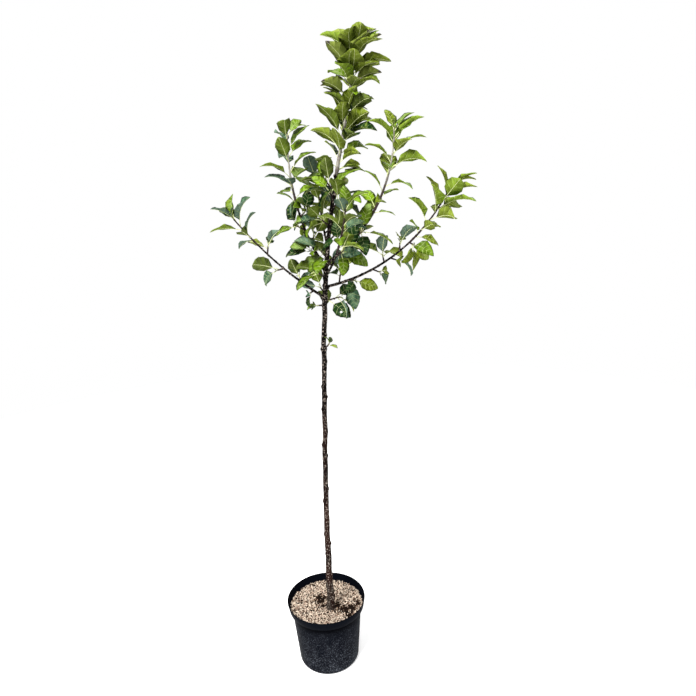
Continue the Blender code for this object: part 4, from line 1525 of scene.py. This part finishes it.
def blade_points(leaf, grid, settings, rng):
    """The template's points laid on a leaf: bowed, folded, pleated by its veins, waved and toothed."""
    along = grid[:, 0]
    across = grid[:, 1]
    spread = np.abs(across)
    t = along + VEIN_SLANT * spread * along * (1 - along) * 4
    offsets = along[:, None] - np.array(VEIN_PLACES)
    nearest = np.take_along_axis(offsets, np.abs(offsets).argmin(axis=1)[:, None], axis=1)[:, 0]
    step = np.where(np.abs(nearest) < VEIN_HALF_WIDTH * 1.5, np.sign(nearest), 0)
    half = leaf.width / 2 * outline(t) * (1 + TOOTH * step * (spread > TOOTH_START))
    angle = leaf.bow * t
    curl = rng.uniform(0.0, CURL)
    phase = rng.uniform(0, 2 * math.pi)
    waves = settings.wave * np.sin(2 * math.pi * (WAVES * t) + phase + across) * spread**2
    lift = spread * half * math.sin(leaf.fold) - curl * half * spread**3 + waves * half
    lift += settings.pleat * step * spread * (1 - spread) * 4
    lift += grid[:, 2] * BLADE_THICKNESS / 2
    out = np.sin(angle) / leaf.bow * leaf.length
    down = (1 - np.cos(angle)) / leaf.bow * leaf.length
    base, stalk, upper, side = (np.array(v) for v in (leaf.base, leaf.stalk, leaf.upper, leaf.side))
    points = base + np.outer(out, stalk) - np.outer(down, upper)
    points += np.outer(across * half * math.cos(leaf.fold), side)
    return points + np.outer(lift * np.cos(angle), upper) + np.outer(lift * np.sin(angle), stalk)


def holed_leaf():
    """A full-grown leaf that hangs with its upper side to the front."""
    shoot = shoot_named(HOLED_SPRAY)
    root = place_on(shoot.points, shoot.radii, HOLED_ROOT)[0]
    bends = (math.radians(HOLED_BOW), math.radians(HOLED_FOLD))
    return Leaf(root, heading(*HOLED_WAY), HOLED_STALK, heading(*HOLED_FACING), *HOLED_SIZE, *bends)


def add_drum(shape, radius, depth, sides, matrix):
    """Add a short round bar to a bmesh."""
    bmesh.ops.create_cone(
        shape, cap_ends=True, segments=sides, radius1=radius, radius2=radius, depth=depth, matrix=matrix,
    )


def insect_hole(leaf):
    """A cutter that takes a round hole out of a leaf beside its midrib."""
    point, up = leaf.at(HOLE_SHARE)
    centre = point + leaf.side * HOLE_ASIDE
    turn = Matrix((leaf.side, up.cross(leaf.side), up)).transposed().to_4x4()
    cut = bmesh.new()
    add_drum(cut, HOLE_RADIUS, HOLE_RADIUS * 4, HOLE_SIDES, Matrix.Translation(centre) @ turn)
    return cut


def cut_away(piece, cut):
    """Take a bmesh's solids out of a piece, and keep what is left as its mesh."""
    cutter = show("cutter", mesh_of("cutter", cut))
    holes = piece.modifiers.new("holes", "BOOLEAN")
    holes.operation = "DIFFERENCE"
    holes.object = cutter
    whole = bpy.data.meshes.new_from_object(piece.evaluated_get(bpy.context.evaluated_depsgraph_get()))
    piece.modifiers.clear()
    piece.data = whole
    rest = bmesh.new()
    rest.from_mesh(whole)
    bmesh.ops.remove_doubles(rest, verts=rest.verts, dist=NEAR_POINT)
    bmesh.ops.recalc_face_normals(rest, faces=rest.faces)
    rest.to_mesh(whole)
    rest.free()
    bpy.data.objects.remove(cutter)


def stalk_template():
    """A closed tube: x is the turn round it and z runs along it."""
    shape = bmesh.new()

    def place(around, along):
        return circle_way(EAST, NORTH, around * 2 * math.pi) + UP * along

    rolled(shape, STALK_RINGS, STALK_SIDES, place)
    return turned_over(shape)


def stalk_points(leaf, grid, size):
    """The template's points laid on a leaf's stalk and on along its midrib."""
    stalk_length = (leaf.base - leaf.root).length
    share = stalk_length / (stalk_length + leaf.length)
    middle = leaf.root.lerp(leaf.base, 0.5) + leaf.upper * stalk_length * STALK_ARCH
    points = []
    for x, y, along in grid:
        if along <= share:
            t = along / share
            centre = leaf.root.lerp(middle, t).lerp(middle.lerp(leaf.base, t), t)
            up = leaf.upper
            radius = STALK_RADIUS * (STALK_FOOT - STALK_FALL * t)
        else:
            t = (along - share) / (1 - share) * MIDRIB_REACH
            centre, up = leaf.at(t)
            radius = MIDRIB_RADIUS + (MIDRIB_END_RADIUS - MIDRIB_RADIUS) * t
            centre = centre - up * (radius * MIDRIB_SINK)
        points.append(centre + (leaf.side * x + up * y) * (radius * size))
    return np.array([tuple(p) for p in points])


def roll_stem(shape, shoot, seed):
    """A spray's stem, rooted in its limb and swollen under each leaf."""
    points, radii, length = rooted(shoot.points, shoot.radii, STEM_ROOT)
    rings = max(10, round(length / STEM_RING))
    joints = [shoot.joint(k) for k in range(shoot.count)]

    def radius_at(a, along):
        radius = place_on(points, radii, along)[2]
        swell = max(bump_at((along - joint) * length, JOINT_LENGTH) for joint in joints)
        ripple = noise.noise(skin_spot(a, along * length * STEM_RIPPLE_RATE, 1, seed))
        end = min(1.0, (1 - along) * length / STEM_TIP_LENGTH + STEM_TIP_SHARE)
        return (radius * STEM_SWELL + JOINT_SWELL * swell + STEM_RIPPLE * ripple) * end

    roll_limb(shape, points, rings, STEM_SIDES, radius_at)


def bud_points(leaf, along, grid, rng):
    """A bud in a leaf's axil, close against the stem."""
    way = (along * BUD_ALONG + leaf.stalk * BUD_ASIDE).normalized()
    side = way.orthogonal().normalized()
    turn = Matrix((side, way.cross(side), way)).transposed()
    size = rng.uniform(*BUD_SIZES)
    scaled = grid * [size * share for share in BUD_SHAPE]
    centre = leaf.root + leaf.stalk * BUD_OUT + along * BUD_UP
    return scaled @ np.array(turn).T + np.array(centre)


# Operators


class TREE_OT_bark(bpy.types.Operator):
    """Trunk and boughs, with the bark's relief"""

    bl_idname = "potted_tree.bark"
    bl_label = "Trunk and boughs"

    def execute(self, context):
        settings = context.scene.tree_bark
        shape = bmesh.new()
        lines, _ = plan_tree()
        roll_trunk(shape, settings)
        for seed, limb in enumerate(LIMBS):
            roll_bough(shape, *lines[limb.name], settings, seed)
        piece = finish_piece("bark", shape, [bark_paint(settings)])
        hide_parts(*LIMB_NODES)
        return {"FINISHED"}


class TREE_OT_stems(bpy.types.Operator):
    """Stems of the leafy sprays, and the buds in their axils"""

    bl_idname = "potted_tree.stems"
    bl_label = "Stems and buds"

    def execute(self, context):
        settings = context.scene.tree_leaves
        _, shoots = plan_tree()
        for name, skin in (("young_stems", settings.stem), ("twigs", settings.twig)):
            shape = bmesh.new()
            for seed, shoot in enumerate(shoots):
                if (name == "young_stems") == shoot.name.startswith(YOUNG_STEMS):
                    roll_stem(shape, shoot, seed)
            stems = finish_piece(name, shape, [stem_paint(name, skin, settings.twig)])
            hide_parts(*MASSES)
        ball = bmesh.new()
        bmesh.ops.create_icosphere(ball, subdivisions=1, radius=1)
        grid = numbers(ball)
        rng = random.Random(SEED)
        placed = []
        for shoot in shoots:
            for leaf in shoot.leaves:
                along = (shoot.points[-1] - shoot.points[0]).normalized()
                placed.append(bud_points(leaf, along, grid, rng))
        buds = copies("buds", ball, placed, [bud_paint()])
        return {"FINISHED"}


class TREE_OT_leaves(bpy.types.Operator):
    """Leaf blades, joined by tint, and their stalks and midribs"""

    bl_idname = "potted_tree.leaves"
    bl_label = "Leaves"

    def execute(self, context):
        settings = context.scene.tree_leaves
        blade = blade_template()
        tube = stalk_template()
        holed = holed_leaf()
        placed, stalks = self.lay_out(settings, numbers(blade), numbers(tube))
        stalks.append(stalk_points(holed, numbers(tube), 1.0))
        for tint in TINTS:
            colour = getattr(settings, tint)
            felt = blend(colour, settings.frost if tint == FROSTED_TINT else settings.down, UNDERSIDE_SHARE)
            # The dark tint gets less painted sheen than the rest.
            painted_sheen = DARK_PAINTED_SHEEN if tint == DARK_TINT else PAINTED_SHEEN
            skins = blade_skins(tint, colour, felt, settings.vein, painted_sheen)
            piece = copies(tint + "_leaves", blade, placed[tint], skins)
            if tint == DARK_TINT:
                points = blade_points(holed, numbers(blade), settings, random.Random(SEED))
                piece = copies("holed_leaf", blade, [points], skins)
                cut_away(piece, insect_hole(holed))
        skins = blade_skins("young", settings.olive, settings.down, settings.vein)
        skins[2:4] = [withered_paint()] * 2
        tips = copies("young_tips", blade, placed["withered"], skins)
        ribs = copies("stalks_and_midribs", tube, stalks, [vein_paint(settings)])
        return {"FINISHED"}

    def lay_out(self, settings, blade_grid, stalk_grid):
        """The points of all blades, by tint or as withered, and of their stalks."""
        rng = random.Random(SEED)
        placed = {tint: [] for tint in (*TINTS, "withered")}
        stalks = []
        for shoot in plan_tree()[1]:
            tints = tints_for(shoot.name)
            young = young_leaves(shoot, rng)
            for k, leaf in enumerate(finer_leaves(shoot, rng) + young):
                points = blade_points(leaf, blade_grid, settings, rng)
                if shoot.name == HOLED_SPRAY and k == HOLED_NUMBER:
                    continue
                tint = tints[k % len(tints)]
                if shoot.name in BROWN_TIP_SPRAYS and (leaf in young or k % BROWN_TIP_STEP == 0):
                    tint = "withered"
                placed[tint].append(points)
                stalks.append(stalk_points(leaf, stalk_grid, min(1.0, leaf.length / STOUT_STALK_BLADE)))
        return placed, stalks


def fruit_stalk_radius(_, along):
    """The radius of the fruitlet's stalk, which is thickest at its ends."""
    return 0.0010 + 0.0004 * abs(along - 0.4)


def sepal_radius(_, along):
    """The radius of a sepal, which narrows to its tip."""
    return 0.0009 * (1 - along) + 0.0002


class TREE_OT_fruitlet(bpy.types.Operator):
    """The fruitlet on its stalk, with a dry calyx"""

    bl_idname = "potted_tree.fruitlet"
    bl_label = "Fruitlet"

    def execute(self, context):
        end, way, centre = fruit_line(shoot_named(FRUIT_SPUR))
        side = way.orthogonal().normalized()
        other = way.cross(side)

        def skin(around, along):
            a = around * 2 * math.pi
            b = along * math.pi
            dents = ((b, *STALK_DENT), (math.pi - b, *CALYX_DENT))
            dent = sum(depth * bump_at(far, width) for far, depth, width in dents)
            lobes = 1 + FRUIT_LOBES * math.cos(SEPALS * a) * math.sin(b / 2) ** 4
            out = circle_way(side, other, a) * math.sin(b) * FRUIT_RADIUS * lobes
            return centre + out - way * (math.cos(b) * FRUIT_RADIUS * (1 - dent))

        shape = bmesh.new()
        rolled(shape, FRUIT_RINGS, FRUIT_SIDES, skin, cap=False)
        fruit = finish_piece("fruitlet", shape, [fruit_paint()])
        shape = bmesh.new()
        stalk_end = centre - way * FRUIT_RADIUS * 0.7
        stalk = [end.lerp(stalk_end, i / 6) for i in range(7)]
        roll_limb(shape, stalk, 12, 8, fruit_stalk_radius)
        foot = centre + way * (FRUIT_RADIUS * 0.84)
        for a in turns_of(SEPALS):
            out = circle_way(side, other, a)
            sepal = [foot + out * spread + way * rise for spread, rise in SEPAL_LINE]
            roll_limb(shape, sepal, 4, 6, sepal_radius)
        calyx = finish_piece("fruit_stalk_and_calyx", shape, [bud_paint()])
        return {"FINISHED"}


def pot_profile():
    """The pot's section as an open line of points, from the middle of its floor inside, over the rim, to
    the middle of its underside."""

    def corner(radius, floor, size):
        turns = [math.pi / 2 * i / CORNER_STEPS for i in range(CORNER_STEPS + 1)]
        return [(radius - size + size * math.cos(a), floor + size - size * math.sin(a)) for a in turns]

    inner = [(0.0, WALL)] + corner(BODY_FOOT_RADIUS - WALL, WALL, FOOT_CORNER - WALL)[::-1]
    inner += [(radius - WALL, BAND_FOOT_HEIGHT + WALL) for radius in (BODY_TOP_RADIUS, BAND_FOOT_RADIUS)]
    turns = [math.pi * i / LIP_STEPS for i in range(LIP_STEPS + 1)]
    rim = [(RIM_RADIUS - LIP - LIP * math.cos(a), POT_HEIGHT - LIP + LIP * math.sin(a)) for a in turns]
    step = [
        (BAND_FOOT_RADIUS + BAND_EDGE * 0.2, BAND_FOOT_HEIGHT + BAND_EDGE),
        (BAND_FOOT_RADIUS - BAND_EDGE * 0.7, BAND_FOOT_HEIGHT),
        (BODY_TOP_RADIUS + BODY_EDGE, BAND_FOOT_HEIGHT),
        (BODY_TOP_RADIUS, BAND_FOOT_HEIGHT - BODY_EDGE),
        (BODY_TOP_RADIUS - BODY_EDGE, BAND_FOOT_HEIGHT - BODY_SHOULDER),
    ]
    return inner + rim + step + corner(BODY_FOOT_RADIUS, 0.0, FOOT_CORNER) + [(0.0, 0.0)]


class TREE_OT_pot(bpy.types.Operator):
    """The nursery pot, with its rolled rim, band and drain holes"""

    bl_idname = "potted_tree.pot"
    bl_label = "Pot"

    def execute(self, context):
        settings = context.scene.tree_pot
        shape = bmesh.new()
        verts = [shape.verts.new((radius, 0.0, z)) for radius, z in pot_profile()]
        edges = [shape.edges.new(pair) for pair in zip(verts, verts[1:])]
        bmesh.ops.spin(
            shape, geom=verts + edges, cent=(0, 0, 0), axis=(0, 0, 1),
            angle=2 * math.pi, steps=settings.steps, use_merge=True,
        )
        bmesh.ops.remove_doubles(shape, verts=shape.verts, dist=SAME_POINT)
        pot = finish_piece("pot_shell", shape, [pot_paint(settings)])
        cut = bmesh.new()
        for k in range(DRAIN_HOLES):
            a = 2 * math.pi * (k + 0.5) / DRAIN_HOLES
            at = Matrix.Translation((DRAIN_CIRCLE * math.cos(a), DRAIN_CIRCLE * math.sin(a), 0))
            add_drum(cut, DRAIN_RADIUS, WALL * 4, DRAIN_SIDES, at)
        cut_away(pot, cut)
        corners = pot.modifiers.new("corners", "EDGE_SPLIT")
        corners.split_angle = math.radians(SHARP_ANGLE)
        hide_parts("pot")
        return {"FINISHED"}


class TREE_OT_compost(bpy.types.Operator):
    """Compost under the top dressing"""

    bl_idname = "potted_tree.compost"
    bl_label = "Compost"

    def execute(self, context):
        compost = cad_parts["compost"]
        compost.data.materials.clear()
        compost.data.materials.append(compost_paint("compost", context.scene.tree_dressing))
        return {"FINISHED"}


def uneven(x, y, rate, layer):
    """Smooth chance over the ground, finer for a higher rate."""
    return noise.noise(Vector((x * rate, y * rate, layer)))


def bare_patch(x, y):
    """How bare of granules the compost is here, from 0 to 1."""
    spread = max(bump_at(math.hypot(x - px, y - py), size) for px, py, size in BARE_SPOTS)
    return spread * (BARE_SHARE + BARE_UNEVENNESS * uneven(x, y, PATCH_RATE, 0))


class TREE_OT_dressing(bpy.types.Operator):
    """Pale granules over a rough bed, with dark compost showing through"""

    bl_idname = "potted_tree.dressing"
    bl_label = "Top dressing"

    def execute(self, context):
        settings = context.scene.tree_dressing
        reach = BAND_FOOT_RADIUS - WALL - GAP
        floor = COMPOST_TOP + GAP
        skirt = BODY_TOP_RADIUS - WALL * 2

        def bed(around, along):
            a = around * 2 * math.pi
            if along < BED_UNDERSIDE:
                return circle_way(EAST, NORTH, a) * (skirt * along / BED_UNDERSIDE) + UP * floor
            radius = reach * (1 - (along - BED_UNDERSIDE) / (1 - BED_UNDERSIDE))
            x, y = radius * math.cos(a), radius * math.sin(a)
            rough = BED_ROUGHNESS * (uneven(x, y, GRIT_RATE, 3) + uneven(x, y, PATCH_RATE, 9))
            return Vector((x, y, DRESSING_TOP - BED_DROP + rough - BARE_DIP * bare_patch(x, y)))

        shape = bmesh.new()
        rolled(shape, BED_RINGS, BED_SIDES, bed, cap=False)
        base = finish_piece("dressing_bed", shape, [compost_paint("dressing_bed", settings)])
        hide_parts("top_dressing")
        self.strew(settings, reach)
        return {"FINISHED"}

    def strew(self, settings, reach):
        """Scatter the granules and crumbs, closest where the compost isn't bare."""
        rng = random.Random(SEED)
        ball = bmesh.new()
        bmesh.ops.create_icosphere(ball, subdivisions=1, radius=0.5)
        grid = numbers(ball)
        kinds = {kind: [] for kind in (*GRANULE_KINDS, "crumbs")}
        trunk_x, trunk_y, _ = TRUNK_LINE[0]
        cream, tan, pink = GRANULE_SHARES
        for _ in range(settings.count):
            spread = math.sqrt(rng.random()) * (reach - settings.size * WALL_DISTANCE)
            a = rng.uniform(0, 2 * math.pi)
            x, y = spread * math.cos(a), spread * math.sin(a)
            bare = bare_patch(x, y)
            if math.hypot(x - trunk_x, y - trunk_y) < TRUNK_CLEARANCE:
                continue
            kind = rng.choices(GRANULE_KINDS, (cream, tan + bare, pink))[0]
            size = settings.size * rng.uniform(*GRANULE_SIZES)
            if bare > rng.uniform(*BARE_CHANCES):
                kind = "crumbs"
                size *= CRUMB_SIZE
            turn = Matrix.Rotation(rng.uniform(0, 6.28), 3, Vector((rng.gauss(0, 1), rng.gauss(0, 1), 1)))
            jitter = np.array([[rng.uniform(*GRANULE_LUMPS)] for _ in range(len(grid))])
            depth = size * rng.uniform(*GRANULE_DEPTHS)
            height = size * rng.uniform(*GRANULE_THICKNESSES)
            scaled = grid * jitter * (size, depth, height)
            layer = rng.uniform(*GRANULE_HEIGHTS) - BARE_SINK * bare
            centre = np.array((x, y, DRESSING_TOP + layer))
            kinds[kind].append(scaled @ np.array(turn).T + centre)
        for name in GRANULE_KINDS:
            skin = granule_paint(name, getattr(settings, name))
            piece = copies(name + "_granules", ball, kinds[name], [skin], smooth=False)
        skin = compost_paint("crumbs", settings)
        crumbs = copies("compost_crumbs", ball, kinds["crumbs"], [skin], smooth=False)


class TREE_OT_stage(bpy.types.Operator):
    """Pale floor, soft light and the camera"""

    bl_idname = "potted_tree.stage"
    bl_label = "Floor, light and camera"

    def execute(self, context):
        settings = context.scene.tree_stage
        shape = bmesh.new()
        bmesh.ops.create_circle(shape, cap_ends=True, segments=FLOOR_SIDES, radius=FLOOR_RADIUS)
        floor = show("floor", mesh_of("floor", shape))
        floor.data.materials.append(floor_paint(settings))
        self.sky(context, settings.sky)
        for name, place, size, share in LAMPS:
            self.lamp(name, place, size, settings.lamp * share)
        self.camera(context)
        context.scene.view_settings.view_transform = "Standard"
        return {"FINISHED"}

    def sky(self, context, strength):
        """Even light from all round, which the camera sees as plain white."""
        world = bpy.data.worlds.new("sky")
        world.use_nodes = True
        nodes = world.node_tree.nodes
        links = world.node_tree.links
        light = nodes["Background"]
        light.inputs["Strength"].default_value = strength
        seen = nodes.new("ShaderNodeBackground")
        for background in (light, seen):
            background.inputs["Color"].default_value = WHITE
        view = nodes.new("ShaderNodeLightPath")
        either = nodes.new("ShaderNodeMixShader")
        sources = (view.outputs["Is Camera Ray"], light.outputs[0], seen.outputs[0])
        for source, socket in zip(sources, either.inputs):
            links.new(source, socket)
        links.new(either.outputs[0], nodes["World Output"].inputs[0])
        context.scene.world = world

    def lamp(self, name, place, size, power):
        """A soft square lamp that looks at the crown."""
        light = bpy.data.lights.new(name, "AREA")
        light.size = size
        light.energy = power
        made = show(name, light)
        made.location = place
        made.rotation_euler = (Vector(LAMP_TARGET) - Vector(place)).to_track_quat("-Z", "Y").to_euler()

    def camera(self, context):
        """The photograph's view: pitched down and rolled a little."""
        data = bpy.data.cameras.new("camera")
        data.sensor_width = SENSOR_WIDTH
        data.lens = FOCAL_PIXELS / PICTURE_SIZE * SENSOR_WIDTH
        made = show("camera", data)
        pitch = Matrix.Rotation(math.radians(90 + CAMERA_PITCH), 4, "X")
        roll = Matrix.Rotation(math.radians(CAMERA_ROLL), 4, "Z")
        made.matrix_world = Matrix.Translation(CAMERA_PLACE) @ pitch @ roll
        context.scene.camera = made


SETTINGS = {
    "tree_bark": BarkSettings,
    "tree_leaves": LeafSettings,
    "tree_pot": PotSettings,
    "tree_dressing": DressingSettings,
    "tree_stage": StageSettings,
}
OPERATORS = (
    TREE_OT_bark,
    TREE_OT_stems,
    TREE_OT_leaves,
    TREE_OT_fruitlet,
    TREE_OT_pot,
    TREE_OT_compost,
    TREE_OT_dressing,
    TREE_OT_stage,
)


class TREE_PT_panel(bpy.types.Panel):
    """Sidebar list of the tree's pieces and settings"""

    bl_idname = "TREE_PT_panel"
    bl_label = "Potted apple tree"
    bl_space_type = "VIEW_3D"
    bl_region_type = "UI"
    bl_category = "Apple tree"

    def draw(self, context):
        for operator in OPERATORS:
            self.layout.operator(operator.bl_idname)
        for name, group in SETTINGS.items():
            box = self.layout.box()
            for setting in group.__annotations__:
                box.prop(getattr(context.scene, name), setting)


def register():
    for group in SETTINGS.values():
        bpy.utils.register_class(group)
    for name, group in SETTINGS.items():
        setattr(bpy.types.Scene, name, PointerProperty(type=group))
    for operator in OPERATORS:
        bpy.utils.register_class(operator)
    bpy.utils.register_class(TREE_PT_panel)


def unregister():
    bpy.utils.unregister_class(TREE_PT_panel)
    for operator in reversed(OPERATORS):
        bpy.utils.unregister_class(operator)
    for name, group in SETTINGS.items():
        delattr(bpy.types.Scene, name)
        bpy.utils.unregister_class(group)


def main():
    register()
    bpy.ops.potted_tree.bark()
    bpy.ops.potted_tree.stems()
    bpy.ops.potted_tree.leaves()
    bpy.ops.potted_tree.fruitlet()
    bpy.ops.potted_tree.pot()
    bpy.ops.potted_tree.compost()
    bpy.ops.potted_tree.dressing()
    bpy.ops.potted_tree.stage()


if __name__ == "__main__":
    main()
